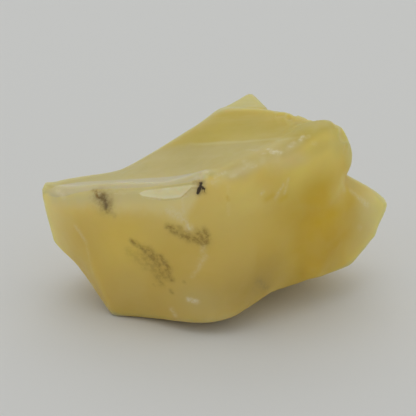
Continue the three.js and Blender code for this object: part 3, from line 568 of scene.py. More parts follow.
def make_lump():
    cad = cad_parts["opal"]
    me = bpy.data.meshes.new("seed")
    v = np.empty(len(cad.data.vertices) * 3, np.float32)
    cad.data.vertices.foreach_get("co", v)
    v = v.reshape(-1, 3) / MM
    faces = [tuple(q.vertices) for q in cad.data.polygons]
    key = {}
    remap = []
    verts = []
    for c in np.round(v, 4).tolist():
        c = tuple(c)
        if c not in key:
            key[c] = len(verts)
            verts.append(c)
        remap.append(key[c])
    me.from_pydata(verts, [], [tuple(remap[i] for i in f) for f in faces])
    seed = bpy.data.objects.new("seed", me)
    bpy.context.scene.collection.objects.link(seed)
    mod = seed.modifiers.new("fine", "REMESH")
    mod.mode = "VOXEL"
    mod.voxel_size = VOXEL
    mod.use_smooth_shade = True
    dg = bpy.context.evaluated_depsgraph_get()
    fine = bpy.data.meshes.new_from_object(seed.evaluated_get(dg))
    bpy.data.objects.remove(seed)
    n = len(fine.vertices)
    co = np.empty(n * 3, np.float32)
    fine.vertices.foreach_get("co", co)
    p = co.reshape(-1, 3).astype(float)

    # quads and their edges, for evening the points out along the skin
    ev = np.empty(len(fine.edges) * 2, np.int32)
    fine.edges.foreach_get("vertices", ev)
    ev = ev.reshape(-1, 2)
    deg = np.bincount(ev.ravel(), minlength=n).astype(float)

    def around(a):
        mid = np.zeros_like(a)
        for k in range(a.shape[1]):
            mid[:, k] = np.bincount(ev[:, 0], a[ev[:, 1], k], n) + np.bincount(ev[:, 1], a[ev[:, 0], k], n)
        return mid / deg[:, None]

    def relax(p, g, amount):
        d = around(p) - p
        d -= g * (d * g).sum(1)[:, None]
        return p + amount * d

    p = in_parts(lambda q: to_skin(body_skin, q, 2), p)
    for _ in range(2):
        g = in_parts(lambda q: slope(body_skin, q), p)
        g /= np.linalg.norm(g, axis=1, keepdims=True)
        p = relax(p, g, 0.5)
        p = in_parts(lambda q: to_skin(body_skin, q, 1), p)
    # where the worn skin lies well inside the sharp one, ease the points down before they are set on it
    far = smooth(0.10, 0.35, in_parts(skin, p))
    for _ in range(8):
        far = np.maximum(far, 0.5 * (far + around(far[:, None])[:, 0]))
    for _ in range(14):
        p += (0.6 * far)[:, None] * (around(p) - p)
    p = in_parts(lambda q: to_skin(skin, q, 2), p)
    for _ in range(3):
        g = in_parts(lambda q: slope(skin, q), p)
        g /= np.maximum(np.linalg.norm(g, axis=1, keepdims=True), 1e-9)
        p = relax(p, g, 0.6)
        p = in_parts(lambda q: to_skin(skin, q, 1), p)
    crush = chips(p)
    g = in_parts(lambda q: slope(skin, q), p)
    g /= np.maximum(np.linalg.norm(g, axis=1, keepdims=True), 1e-9)
    p = p + g * in_parts(relief, p)[:, None]
    stand = bulge(p, g, ev, deg)
    lo = np.array(cad_box[0]) / MM
    hi = np.array(cad_box[1]) / MM
    p = np.clip(p, lo, hi)
    fine.vertices.foreach_set("co", (p * MM).astype(np.float32).ravel())
    fine.update()
    lump = bpy.data.objects.new("opal_lump", fine)
    bpy.context.scene.collection.objects.link(lump)
    for poly in fine.polygons:
        poly.use_smooth = True
    return lump, p, crush, stand


lump, P, CRUSH, STAND = make_lump()
print("lump", len(lump.data.vertices), "points", len(lump.data.polygons), "faces")
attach(lump, "root")
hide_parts("opal")

# ------------------------------------------------------------------ where the marks are (mm)
# Runs of (point, point, radius, strength); every mark falls off smoothly and noise breaks it up.
STAINS = [  # brown granular growths
    ([-13.65, -6.19, 15.42], [-13.47, -6.61, 15.05], 0.27, 0.9), ([-14, -5.95, 15.5], [-13.71, -6.17, 15.41], 0.17, 0.5),
    ([-13.47, -6.64, 15], [-13.01, -6.94, 14.89], 0.37, 0.85), ([-12.78, -6.69, 15.46], [-12.66, -6.95, 15.14], 0.28, 0.7),
    ([-13.12, -7.06, 14.57], [-12.78, -7.4, 14.23], 0.37, 0.72), ([-13.13, -6.77, 15.06], [-12.55, -7.43, 14.37], 0.95, 0.58),
    ([-12.2, -7.23, 15.02], [-12.09, -7.7, 14.24], 0.56, 0.52), ([-12.55, -7.49, 14.27], [-12.34, -7.81, 13.73], 0.3, 0.72),
    ([-12.09, -7.92, 13.72], [-11.57, -8.23, 13.43], 0.28, 0.34), ([-13.6, -6.11, 15.51], [-12.67, -6.59, 15.67], 0.19, 0.3),
    ([-2.53, -10.03, 18.35], [-1.41, -10.47, 18.59], 0.14, 0.55), ([-1.8, -10.41, 18.34], [-1.97, -10.61, 17.33], 0.37, 0.55),
    ([-1.58, -10.53, 18.15], [-1.34, -10.76, 17.52], 0.28, 0.6), ([-5.47, -10.67, 13.14], [-4.91, -10.89, 12.93], 0.28, 0.88),
    ([-4.91, -10.83, 13.28], [-3.89, -11.13, 13.23], 0.2, 0.4), ([-5.02, -10.88, 12.8], [-3.44, -11.4, 12.11], 0.35, 0.66),
    ([-3.22, -11.43, 12.25], [-1.19, -11.82, 11.82], 0.54, 0.72), ([-1.98, -11.61, 12.71], [-1.19, -11.81, 11.94], 0.5, 0.6),
    ([-1.36, -11.62, 13.22], [-0.96, -11.74, 12.65], 0.3, 0.72), ([-0.96, -11.72, 12.77], [-1.13, -11.8, 12.06], 0.28, 0.6),
    ([-2.65, -11.59, 11.83], [-1.41, -11.84, 11.45], 0.3, 0.5), ([-4.23, -11.11, 12.85], [-2.88, -11.5, 12.29], 0.4, 0.36),
    ([-9.59, -9.37, 10.7], [-9.25, -9.53, 10.52], 0.26, 0.72), ([-9.25, -9.53, 10.52], [-8.34, -9.91, 10.01], 0.35, 0.62),
    ([-8.22, -9.95, 9.91], [-7.32, -10.25, 9.17], 0.54, 0.62), ([-7.65, -10.17, 9.89], [-6.75, -10.45, 9.02], 0.49, 0.62),
    ([-7.32, -10.24, 9.04], [-6.52, -10.49, 8.28], 0.51, 0.6), ([-6.23, -10.67, 9.44], [-6.06, -10.71, 8.95], 0.26, 0.75),
    ([-5.84, -10.77, 8.67], [-5.39, -10.9, 7.98], 0.4, 0.68), ([-6.53, -10.48, 8.02], [-5.85, -10.66, 6.84], 0.54, 0.52),
    ([-5.62, -10.8, 7.68], [-5.05, -10.94, 6.61], 0.37, 0.62), ([-6.65, -10.33, 6.68], [-6.2, -10.43, 5.84], 0.4, 0.42),
    ([-5.18, -10.82, 5.15], [-4.95, -10.91, 4.87], 0.19, 0.45), ([-3.69, -11.42, 6.59], [-3.57, -11.46, 6.48], 0.14, 0.4),
    ([-7.12, -10, 5.5], [-7.01, -10.04, 5.39], 0.13, 0.3), ([-9.72, -9.22, 9.18], [-7.9, -9.89, 7.73], 0.7, 0.22),
    ([-8.34, -9.85, 9.23], [-6.31, -10.47, 6.75], 0.76, 0.36),
]
DUSKS = [  # the dark core of the smear at the left
    ([-13.12, -6.86, 14.92], [-12.66, -7.09, 14.9], 0.29, 0.72), ([-12.66, -7.06, 14.95], [-12.43, -7.6, 14.13], 0.31, 0.88),
    ([-12.9, -6.77, 15.25], [-12.61, -7.03, 15.05], 0.26, 0.6),
]
BRUISES_AND_GLINTS = [  # whitened places full of tiny cracks; the flecks along the long edge and the crest are partly painted glints
    ([-3.13, -11.62, 4.4], [-2.21, -11.91, 4.3], 0.26, 0.85), ([-5.08, -10.71, 2.66], [-4.62, -10.86, 1.97], 0.28, 0.35),
    ([-3.17, -11.27, 13.42], [-3.01, -11.34, 13.26], 0.4, 0.8), ([-5.35, -10.24, 14.93], [-4.45, -10.65, 14.62], 0.42, 0.4),
    ([-4.45, -10.65, 14.62], [-3.44, -11.1, 13.97], 0.4, 0.4), ([-4.9, -10.3, 15.21], [-4.68, -10.45, 15.02], 0.19, 0.4),
    ([-3.77, -10.33, 16.21], [-3.66, -10.8, 14.94], 0.19, 0.25), ([-1.41, -11.85, 11.33], [-1.53, -11.9, 10.61], 0.26, 0.36),
    ([-1.19, -11.99, 10.02], [-1.53, -11.97, 9.51], 0.3, 0.36), ([-1.64, -11.96, 9.25], [-1.98, -11.9, 8.47], 0.28, 0.34),
    ([-2.21, -11.85, 8.19], [-2.66, -11.74, 7.38], 0.28, 0.25), ([-1.41, -11.91, 10.73], [-1.75, -11.94, 8.99], 0.4, 0.18),
    ([-16.09, -5.85, 10.85], [-15.52, -6.09, 10.08], 0.23, 0.36), ([-15.52, -6.09, 10.08], [-14.96, -6.33, 9.17], 0.23, 0.34),
    ([-14.96, -6.35, 9.31], [-14.65, -6.38, 7.41], 0.23, 0.2), ([-14.65, -6.38, 7.41], [-14.23, -6.27, 5.18], 0.23, 0.14),
    # partly painted glints: the white flecks along the long edge and the crest stand in for light caught by small chips
    ([-18.16, -3.98, 14.53], [-17.44, -4.85, 14.18], 0.3, 0.45), ([-0.29, -10.74, 18.62], [0.15, -10.75, 18.86], 0.19, 0.3),
    ([1.72, -10.32, 19.16], [2.06, -10.16, 19.27], 0.21, 0.35), ([3.07, -9.59, 19.82], [3.4, -9.47, 20.01], 0.21, 0.3),
    ([4.07, -9.7, 20.05], [4.52, -9.62, 20.2], 0.19, 0.3), ([6.27, -8.33, 21.28], [7.11, -8.39, 21.25], 0.26, 1),
    ([5.78, -7.6, 21.33], [6.22, -8, 21.38], 0.16, 0.55), ([5.21, -8.3, 21.08], [5.54, -8.42, 21.13], 0.14, 0.3),
    ([3.57, -5.08, 20.15], [4.67, -7.13, 20.93], 0.21, 0.3), ([8.36, -7.63, 21.77], [8.7, -7.45, 21.93], 0.28, 0.6),
    ([9.49, -7.22, 22.32], [9.72, -7.01, 22.54], 0.23, 0.85), ([10.05, -7.18, 22.55], [10.38, -7.15, 22.66], 0.19, 0.35),
    ([10.83, -7.64, 22.02], [11.17, -7.53, 21.97], 0.23, 0.2), ([3.08, -8.64, 20.25], [3.85, -9.5, 20.14], 0.35, 0.25),
    ([4.48, -4.79, 20.4], [8.38, -6.94, 22.08], 0.58, 0.1), ([-0.4, -10.72, 18.61], [-0.07, -10.6, 19.17], 0.21, 0.4),
    ([0.04, -10.48, 19.36], [0.94, -10.01, 19.51], 0.21, 0.4), ([-2.31, -9.8, 18.74], [-1.08, -10.4, 19.2], 0.23, 0.4),
    ([-1.02, -10.17, 19.64], [-0.85, -10.22, 19.61], 0.14, 0.7), ([6.68, -9.91, 16.26], [7.02, -9.69, 16.9], 0.14, 0.5),
    ([7.02, -9.69, 16.9], [7.58, -9.36, 17.74], 0.14, 0.42), ([7.7, -9.35, 16.63], [8.14, -9.1, 18.37], 0.14, 0.34),
    ([5.09, -10.58, 17.19], [5.31, -10.47, 17.32], 0.16, 0.5), ([1.38, -11.01, 18.25], [1.39, -11.48, 15.01], 0.16, 0.16),
    ([15.55, -1.92, 13.59], [16.52, -1.37, 12.44], 0.28, 0.3), ([16.52, -1.37, 12.44], [17.65, -0.41, 11.04], 0.33, 0.42),
    ([14.46, -4.34, 16.46], [14.81, -2.79, 13.99], 0.35, 0.2), ([16.6, -1.5, 8.79], [16.86, -1.23, 8.4], 0.26, 0.22),
    ([13.67, -3.92, 22.37], [14.02, -3.95, 22.01], 0.28, 0.25),
]
VEILS_AND_HIGHLIGHT = [  # a soft pale band along the worn, rounded half of the long edge, partly its own paleness and partly painted highlight on the rounded edge
    ([-1.02, -10.55, 18.72], [0.04, -10.85, 18.42], 0.4, 0.5), ([-0.18, -10.79, 18.52], [0.94, -10.61, 19.05], 0.44, 0.5),
    ([0.94, -10.44, 19.22], [2.73, -9.79, 19.6], 0.72, 0.62), ([2.73, -9.79, 19.6], [5.19, -9.37, 20.51], 0.7, 0.58),
    ([5.19, -9.37, 20.51], [6.77, -8.98, 20.77], 0.51, 0.34), ([7.68, -8.25, 21.31], [9.48, -7.43, 22.17], 0.42, 0.34),
]
SMUDGES = [  # a faint dull patch low on the right
    ([4.84, -10.67, 6.22], [5.78, -9.4, 4.69], 0.51, 0.75), ([5.32, -9.79, 4.62], [5.57, -9.22, 3.83], 0.3, 0.25),
    ([4.15, -10.99, 5.48], [4.74, -10.29, 4.62], 0.28, 0.2),
]
RICH = [  # clearer, stronger yellow spots
    ([5.66, -10.41, 16.37], [6.34, -10.05, 16.7], 0.35, 0.5), ([7.37, -9.58, 15.99], [7.82, -9.33, 16.24], 0.35, 0.45),
    ([1.27, -11.25, 17.13], [1.39, -11.32, 16.67], 0.14, 0.6),
]
BLACK = [  # the black speck on the long edge
    ([-1.68, -10.44, 18.38], [-1.76, -10.54, 17.91], 0.18, 0.9), ([-1.83, -10.52, 17.87], [-1.95, -10.56, 17.55], 0.23, 1.05),
    ([-1.94, -10.56, 17.57], [-2.04, -10.6, 17.27], 0.19, 1.05), ([-1.6, -10.56, 18.01], [-1.36, -10.68, 17.83], 0.14, 0.95),
    ([-1.39, -10.66, 17.87], [-1.33, -10.71, 17.77], 0.15, 1), ([-1.34, -10.75, 17.58], [-1.27, -10.82, 17.4], 0.1, 0.6),
    ([-1.84, -10.37, 18.43], [-1.48, -10.49, 18.46], 0.11, 0.6),
]
STAINS += [  # growths on the back and underside
    ([-8.7, 5.5, 12.8], [-8.8, 5.6, 12.5], 0.27, 0.38), ([-8.7, 5.6, 12.6], [-8.8, 5.7, 12.3], 0.21, 0.35),
    ([-9.3, 5.4, 12.2], [-9.1, 5.6, 12.2], 0.53, 0.58), ([-8.9, 5.8, 12], [-8.8, 5.9, 11.9], 0.46, 0.35),
    ([-9, 5.7, 12], [-8.9, 5.9, 11.6], 0.45, 0.64), ([-8.8, 5.9, 11.8], [-8.3, 6.2, 11.6], 0.5, 0.47),
    ([-9.8, 5.9, 10.7], [-9.4, 6.3, 10.2], 0.43, 0.45), ([-9.5, 6, 10.7], [-9.3, 6.2, 10.3], 0.64, 0.49),
    ([-8.9, 6.3, 10.6], [-8.7, 6.5, 10.4], 0.58, 0.47), ([-8.6, 6.5, 10.6], [-8.6, 6.6, 10.2], 0.46, 0.37),
    ([-8.1, 6.7, 10.6], [-8.5, 6.7, 10.2], 0.24, 0.36), ([-9, 6.5, 10], [-9.1, 6.5, 9.9], 0.31, 0.37),
    ([-12.8, 5.4, 6.5], [-13.2, 5.2, 6.5], 0.12, 0.28), ([-13.4, 5.1, 6.3], [-13.3, 5.1, 7], 0.23, 0.49),
    ([-13.7, 4.9, 6.3], [-13.8, 4.8, 6.9], 0.22, 0.59), ([-13.9, 4.7, 6.9], [-13.6, 4.8, 7.3], 0.25, 0.3),
    ([-13.9, 4.7, 7], [-14, 4.5, 7.4], 0.21, 0.34), ([9.7, 4.1, 18.3], [9.6, 4.4, 18], 0.17, 0.31),
    ([9.2, 4.5, 18.1], [9.4, 4.5, 18], 0.35, 0.61), ([8.6, 4.7, 18.4], [9.1, 4.7, 17.8], 0.3, 0.36),
    ([8.9, 4.7, 18.1], [9.3, 4.8, 17.5], 0.28, 0.65), ([9.4, 4.5, 17.8], [9.3, 5, 17.3], 0.23, 0.45),
    ([8.9, 5, 17.5], [9.2, 5.1, 17.2], 0.44, 0.4), ([9.3, 5, 17.3], [9.2, 5.2, 17.1], 0.22, 0.43),
    ([9.2, 5.2, 17.1], [9, 5.5, 16.8], 0.29, 0.41), ([14.4, 6.4, 9.8], [14.5, 6.3, 9.9], 0.12, 0.45),
    ([14.4, 6.4, 9.8], [14.9, 5.9, 10], 0.28, 0.5), ([14.6, 6.2, 9.8], [15, 5.8, 10.1], 0.34, 0.55),
    ([15.1, 5.7, 10.1], [14.8, 5.7, 10.7], 0.15, 0.35), ([-3.4, -5.8, 0], [-3.6, -5.4, 0], 0.4, 0.35),
    ([-4, -5.6, 0], [-3.8, -5.2, 0], 0.23, 0.41), ([-2.8, -5.2, 0], [-3, -4.8, 0], 0.52, 0.44),
    ([-3.2, -5.2, 0], [-3.2, -4.4, 0], 0.28, 0.47), ([-3.4, -4.6, 0], [-2.8, -4.4, 0], 0.55, 0.6),
    ([-2.8, -4.8, 0], [-2.4, -4.2, 0], 0.4, 0.38), ([-3.2, -4, 0], [-3, -3.2, 0], 0.45, 0.54),
    ([-3.8, -3, 0], [-3, -2.8, 0], 0.68, 0.44), ([-3, -3.2, 0], [-2.4, -3, 0], 0.59, 0.54),
    ([-2.4, -3.2, 0], [-2.2, -3, 0], 0.38, 0.34), ([-3, -2.4, 0], [-2.6, -2.2, 0], 0.31, 0.46),
    ([-2.4, -2.2, 0], [-2.2, -2, 0], 0.34, 0.21), ([8.5, 0.5, 1.6], [8.9, 0.5, 1.8], 0.13, 0.27),
    ([8.5, 0.1, 1.7], [8.7, -0.1, 1.8], 0.2, 0.28), ([9.3, 0.7, 2], [9.4, 0.1, 2.1], 0.44, 0.61),
    ([9.3, 0.1, 2], [9.3, -0.3, 2], 0.22, 0.48), ([9.5, -0.1, 2.1], [9.5, -0.3, 2.1], 0.39, 0.46),
    ([9.5, -0.3, 2.1], [10, -0.1, 2.3], 0.38, 0.29), ([10, -0.5, 2.3], [10.1, -0.3, 2.4], 0.2, 0.39),
    ([2.2, 12.3, 13.2], [2.2, 12.3, 12.8], 0.23, 0.34), ([1.8, 12.2, 13], [1.2, 12, 12.4], 0.29, 0.55),
    ([0.8, 11.6, 12.6], [1.9, 12.2, 12.2], 0.27, 0.58), ([1.1, 11.9, 12.5], [1.5, 12.2, 12], 0.12, 0.37),
    ([-16.5, 2.4, 7.3], [-16.5, 2.4, 7.1], 0.27, 0.22), ([-16.6, 2.3, 7.3], [-17, 1.9, 6.9], 0.21, 0.31),
    ([-16.9, 2, 7.1], [-16.8, 2.2, 6.5], 0.47, 0.44), ([-17, 1.9, 6.9], [-17.4, 1.4, 6.9], 0.27, 0.49),
    ([-16.8, 1.3, 5.8], [-16.9, 0.8, 5.7], 0.23, 0.35), ([-17.1, 0.9, 5.9], [-17.2, 0.6, 6], 0.25, 0.29),
]
BRUISES_AND_GLINTS += [  # whitened veins and knocks there
    ([-16, 2.4, 9.1], [-17, 1.4, 9.3], 0.2, 0.36), ([-17, 1.4, 9.3], [-17.9, 0.3, 9.5], 0.21, 0.22),
    ([-17.9, 0.3, 9.5], [-18.7, -0.7, 10], 0.19, 0.45), ([-18.7, -0.7, 10], [-19.4, -1.5, 10.6], 0.21, 0.35),
    ([-19.4, -1.5, 10.6], [-19.7, -1.8, 11.6], 0.2, 0.33), ([-19.7, -1.8, 11.6], [-19.7, -2.2, 12.1], 0.25, 0.48),
    ([6.8, 8.3, 17.1], [7.4, 8.2, 16], 0.16, 0.32), ([7.4, 8.2, 16], [7.8, 8.5, 14.8], 0.24, 0.45),
    ([7.8, 8.5, 14.8], [8.3, 8.7, 13.6], 0.16, 0.37), ([8.3, 8.7, 13.6], [8.8, 8.8, 12.3], 0.25, 0.24),
    ([8.8, 8.8, 12.3], [9.3, 8.9, 11], 0.16, 0.26), ([9.3, 8.9, 11], [9.6, 8.9, 9.9], 0.22, 0.29),
    ([-5.9, -5.9, 0], [-5, -4.8, 0], 0.18, 0.4), ([-5, -4.8, 0], [-3.6, -3.8, 0], 0.19, 0.34),
    ([-3.6, -3.8, 0], [-2.2, -2.8, 0], 0.24, 0.32), ([-2.2, -2.8, 0], [-0.9, -2.2, 0], 0.22, 0.32),
    ([-0.9, -2.2, 0], [0.5, -1.5, 0], 0.2, 0.38), ([0.5, -1.5, 0], [1.9, -0.5, 0], 0.26, 0.35),
    ([-2.7, 9.4, 11.6], [-3.3, 9.3, 10.5], 0.22, 0.23), ([-3.3, 9.3, 10.5], [-3.5, 9.6, 9.3], 0.21, 0.37),
    ([-3.5, 9.6, 9.3], [-3.9, 9.6, 8.1], 0.16, 0.4), ([-3.9, 9.6, 8.1], [-4.1, 9.6, 7], 0.15, 0.42),
    ([-15.2, 2.7, 4.5], [-15.3, 2.8, 4.9], 0.32, 0.56), ([-14.8, 3.3, 5.1], [-14.4, 3.4, 4.7], 0.3, 0.4),
    ([-15.1, 3, 5.2], [-15.6, 2.6, 5.2], 0.49, 0.48), ([-10.4, 6.5, 1.5], [-10.8, 6.3, 1.7], 0.53, 0.48),
    ([-10.3, 6.5, 1.4], [-10.4, 6.4, 1.3], 0.66, 0.58), ([-9.7, 7, 1.3], [-8.9, 7.3, 0.5], 0.46, 0.47),
    ([13.5, 6.5, 4.9], [12.9, 6.9, 4.3], 0.51, 0.4), ([13.7, 6.5, 5.2], [13.7, 6.8, 5.6], 0.43, 0.35),
    ([13.4, 7.1, 5.1], [12.8, 7.2, 4.5], 0.4, 0.5), ([-2.4, 8.7, 13.7], [-2.4, 8.9, 13.3], 0.34, 0.6),
    ([-2.8, 8.7, 13.1], [-3.5, 8.6, 12.2], 0.34, 0.6), ([-2.4, 8.9, 13.5], [-2.1, 9, 13.6], 0.21, 0.48),
    ([6.1, 11.7, 14.1], [5.8, 11.8, 13.7], 0.27, 0.51), ([6.2, 11.7, 13.9], [5.8, 11.8, 13.6], 0.33, 0.54),
    ([5.6, 11.9, 13.6], [5.6, 11.9, 14.1], 0.28, 0.36), ([-14.7, -3.4, 2.6], [-14.5, -3.4, 2.4], 0.35, 0.38),
    ([-14.4, -4.6, 2.8], [-14.2, -4, 2], 0.26, 0.4), ([-14.3, -4.2, 2.3], [-14.2, -4.6, 2.4], 0.27, 0.38),
    ([7.7, 10.9, 2.6], [7.9, 10, 1.9], 0.45, 0.44), ([8.2, 10.2, 2.3], [7.9, 10.1, 2], 0.37, 0.35),
    ([7.9, 10.3, 2], [8, 10.2, 2.1], 0.52, 0.54),
]


def spread(marks, p):
    out = np.zeros(len(p))
    for a, b, r, k in marks:
        out = np.maximum(out, k * near_line(p, a, b, r * 1.5 + 0.03))
    return out


def paint_masks(lump, p, crush, stand):
    g = in_parts(lambda q: slope(skin, q, 0.9), p)
    g /= np.maximum(np.linalg.norm(g, axis=1, keepdims=True), 1e-9)
    top = smooth(0.35, 0.93, g[:, 2]) * smooth(11, 13, p[:, 2])
    seen = in_parts(faces_front, p)
    x = p[:, 0]
    ends = smooth(-19.6, -18.6, x) * (1 - smooth(-1.7, -0.7, x))
    lip = np.minimum(over(p, LIP_LOW), 3.0 * (0.25 - over(p, LIP_TOP)) / 3.0)
    chip = np.minimum(over(p, CHIP_LOW), -over(p, CHIP_TOP) + 0.12)
    shade = np.minimum(over(p, SHADE_LOW), 0.5 - over(p, LIP_LOW))
    # strips along the thin edges behind the top, at the left end and along the lobe, where the painted light of the
    # thin edges goes
    h = {k: SIDE[k].height(p) for k in ("top_scoop", "back_left", "back_mid", "back_right", "left_facet", "lobe_side", "lobe_back")}
    back = np.maximum(np.maximum(h["back_left"], h["back_mid"]), h["back_right"])
    strip = lambda a, b, w: smooth(-w, 0.1, np.minimum(a, b)) * (1 - smooth(0.25, 0.6, np.maximum(a, b)))
    thin = strip(h["top_scoop"], back, 1.4 - 0.8 * smooth(1.0, 5.0, x)) * (1 - 0.45 * smooth(0.0, 4.0, x))
    thin = np.maximum(thin, 0.6 * strip(h["left_facet"], h["back_left"], 0.7))
    thin = np.maximum(thin, 0.6 * strip(h["lobe_side"], h["lobe_back"], 0.7) * smooth(13.0, 15.0, x))
    # sparse specks and knocked edges on the sides turned away
    away = 1 - seen
    speck = away * smooth(0.62, 0.80, noise(p * 0.8)) * smooth(0.05, 0.45, noise(p * 0.11 + 5))
    knock = away * smooth(0.04, 0.16, stand) * smooth(-0.1, 0.5, noise(p * 0.45 + 11))
    masks = {"stain": np.maximum(spread(STAINS, p), 0.55 * speck), "dusk": spread(DUSKS, p), "black": spread(BLACK, p), "bruise_and_glint": np.maximum(spread(BRUISES_AND_GLINTS, p), 0.55 * knock),
             "smudge": spread(SMUDGES, p), "veil_and_highlight": spread(VEILS_AND_HIGHLIGHT, p), "rich": spread(RICH, p), "top": top, "seen": seen * ends, "crush": crush,
             "lip": np.clip(lip, -2, 2), "chip": np.clip(chip, -2, 2), "chip_top": np.clip(0.12 - over(p, CHIP_TOP), -1, 2), "shade": np.clip(shade, -2, 2),
             "under": np.clip(-over(p, LIP_LOW), -1, 4), "stand": stand,
             "thin": thin}
    for name, values in masks.items():
        at = lump.data.attributes.new(name, "FLOAT", "POINT")
        at.data.foreach_set("value", np.asarray(values, np.float32))


paint_masks(lump, P, CRUSH, STAND)

# Colour zones in the order they are laid on: (colour, share, kind, numbers). A step runs along x, y, z
# or the slanted height v from one value to another; a ball is a centre, three radii and a flat core.
# Painted light and shade in these zones: the darker lower body, foot, low middle and toe are painted shade low on the
# stone; the paler upper right, lobe end and left end are painted light at the top and through the thin ends; the deeper
# right side, ochre heart and low right are partly the stone's deeper tone and partly painted shade on the side turned
# from the light; the duller below-the-crest, high corner and right edge are painted shade on the crest.
BODY_TONE_LIGHT_AND_SHADE = [
    ((0.799, 0.631, 0.176), 1, "all", ()),  # upper body
    ((0.735, 0.529, 0.107), 1, "z", (16, 8)),  # lower body
    ((0.663, 0.472, 0.114), 1, "z", (7.5, 1.5)),  # foot
    ((0.659, 0.512, 0.167), 1, "ball", (-1, -12, 4, 7, 5, 5.5, 0.1)),  # belly
    ((0.67, 0.453, 0.027), 0.85, "x", (2, 11)),  # right side
    ((0.85, 0.712, 0.175), 1, "ball", (11, -7, 19.5, 8, 7, 6.5, 0.2)),  # upper right
    ((0.532, 0.371, 0.079), 1, "ball", (4.5, -11, 5.5, 7.5, 7, 6.5, 0)),  # low middle
    ((0.686, 0.453, 0.014), 1, "ball", (12.3, -6.5, 10.5, 5.5, 7, 11.2, 0.2)),  # ochre heart
    ((0.635, 0.412, 0.02), 1, "ball", (12.7, -5, 7.9, 5, 5, 4, 0.1)),  # low right
    ((0.72, 0.49, 0.03), 1, "ball", (12.1, -6.2, 14.4, 3.4, 4, 3, 0.1)),  # top of the heart
    ((0.697, 0.52, 0.099), 1, "ball", (14.5, -2, 4.5, 4.5, 6, 5, 0.2)),  # lobe foot
    ((0.746, 0.664, 0.272), 1, "x", (14.4, 19.2)),  # lobe end
    ((0.822, 0.672, 0.197), 1, "ball", (2.5, -11, 17, 6, 5, 3.5, 0.1)),  # under the long edge
    ((0.83, 0.617, 0.108), 1, "ball", (-10.5, -9, 10, 6, 6, 4.5, 0.1)),  # left front
    ((0.828, 0.706, 0.267), 1, "x", (-15.6, -19.6)),  # left end
    ((0.785, 0.609, 0.126), 1, "ball", (13.8, -3.5, 15, 3, 4, 3.5, 0.1)),  # neck
    ((0.765, 0.641, 0.262), 1, "ball", (8, -9, 20.9, 4.5, 4, 2.5, 0.1)),  # right of the rim
    ((0.56, 0.41, 0.12), 1, "ball", (0.5, -9.5, 1.2, 6.5, 4, 2.8, 0.1)),  # toe
    ((0.735, 0.61, 0.155), 1, "ball", (11.6, -7, 21.7, 3.2, 3.2, 2, 0.1)),  # below the crest
    ((0.687, 0.588, 0.157), 1, "ball", (14.2, -4.5, 21.5, 2.6, 4.5, 3.4, 0.1)),  # high corner
    ((0.62, 0.59, 0.2), 0.8, "ball", (15.5, -3, 19.3, 1.4, 3.2, 3.6, 0.1)),  # right edge
]
# The hollow top's colours are partly painted sheen: greyer than the body, as though the bright surroundings were
# reflected in it.
TOP_TONE_AND_SHEEN = [
    ((0.61, 0.499, 0.159), 1, "all", ()),  # hollow
    ((0.626, 0.49, 0.077), 1, "v", (16.5, 17.4)),  # back of the hollow
    ((0.571, 0.49, 0.156), 1, "x", (-6, -14)),  # left end of the top
    ((0.542, 0.442, 0.072), 1, "ball", (11, -4, 22.5, 6, 6, 4, 0.2)),  # right end of the top
    ((0.641, 0.574, 0.193), 1, "v", (20.7, 21.3)),  # spur
    ((0.606, 0.49, 0.13), 1, "ball", (-0.5, -8, 18.8, 4, 2.6, 2.6, 0.1)),  # front of the hollow
    ((0.604, 0.466, 0.058), 1, "ball", (7.5, -3, 21, 4, 5, 3, 0.1)),  # by the crest
]


# ------------------------------------------------------------------ material
class Graph:
    def __init__(self, tree):
        self.t = tree

    def node(self, kind, **props):
        n = self.t.nodes.new(kind)
        for k, v in props.items():
            setattr(n, k, v)
        return n

    def put(self, socket, value):
        if isinstance(value, bpy.types.NodeSocket):
            self.t.links.new(value, socket)
        elif hasattr(socket.default_value, "__len__") and not hasattr(value, "__len__"):
            socket.default_value = [value] * len(socket.default_value)
        else:
            socket.default_value = value

    def math(self, op, a, b=0.0, clamp=False):
        n = self.node("ShaderNodeMath", operation=op, use_clamp=clamp)
        self.put(n.inputs[0], a)
        self.put(n.inputs[1], b)
        return n.outputs[0]

    def vec(self, op, a, b=None):
        n = self.node("ShaderNodeVectorMath", operation=op)
        self.put(n.inputs[0], a)
        if b is not None:
            self.put(n.inputs[3] if op == "SCALE" else n.inputs[1], b)
        return n.outputs["Value"] if op in ("LENGTH", "DOT_PRODUCT", "DISTANCE") else n.outputs["Vector"]

    def step(self, x, lo, hi, a=0.0, b=1.0):
        n = self.node("ShaderNodeMapRange", interpolation_type="SMOOTHSTEP")
        self.put(n.inputs["Value"], x)
        self.put(n.inputs["From Min"], lo)
        self.put(n.inputs["From Max"], hi)
        self.put(n.inputs["To Min"], a)
        self.put(n.inputs["To Max"], b)
        return n.outputs[0]

    def mix(self, fac, a, b, blend="MIX"):
        n = self.node("ShaderNodeMix", data_type="RGBA", blend_type=blend)
        self.put(n.inputs[0], fac)
        self.put(n.inputs[6], a)
        self.put(n.inputs[7], b)
        return n.outputs[2]

    def noise(self, p, scale, detail=2.0, rough=0.5, warp=0.0):
        n = self.node("ShaderNodeTexNoise")
        self.put(n.inputs["Vector"], p)
        self.put(n.inputs["Scale"], scale)
        self.put(n.inputs["Detail"], detail)
        self.put(n.inputs["Roughness"], rough)
        self.put(n.inputs["Distortion"], warp)
        return n.outputs[0]

    def attr(self, name):
        return self.node("ShaderNodeAttribute", attribute_name=name).outputs["Fac"]

    def blob(self, p, at, size, core=0.0):
        q = self.vec("DIVIDE", self.vec("SUBTRACT", p, at), size)
        return self.step(self.vec("LENGTH", q), core, 1.0, 1.0, 0.0)

    def zones(self, table, along, place):
        col = rgb(*table[0][0])
        for colour, share, kind, a in table[1:]:
            m = self.blob(place, a[0:3], a[3:6], a[6]) if kind == "ball" else self.step(along[kind], a[0], a[1])
            if share < 1:
                m = self.math("MULTIPLY", m, share)
            col = self.mix(m, col, rgb(*colour))
        return col


def rgb(r, g, b):
    return (r, g, b, 1.0)


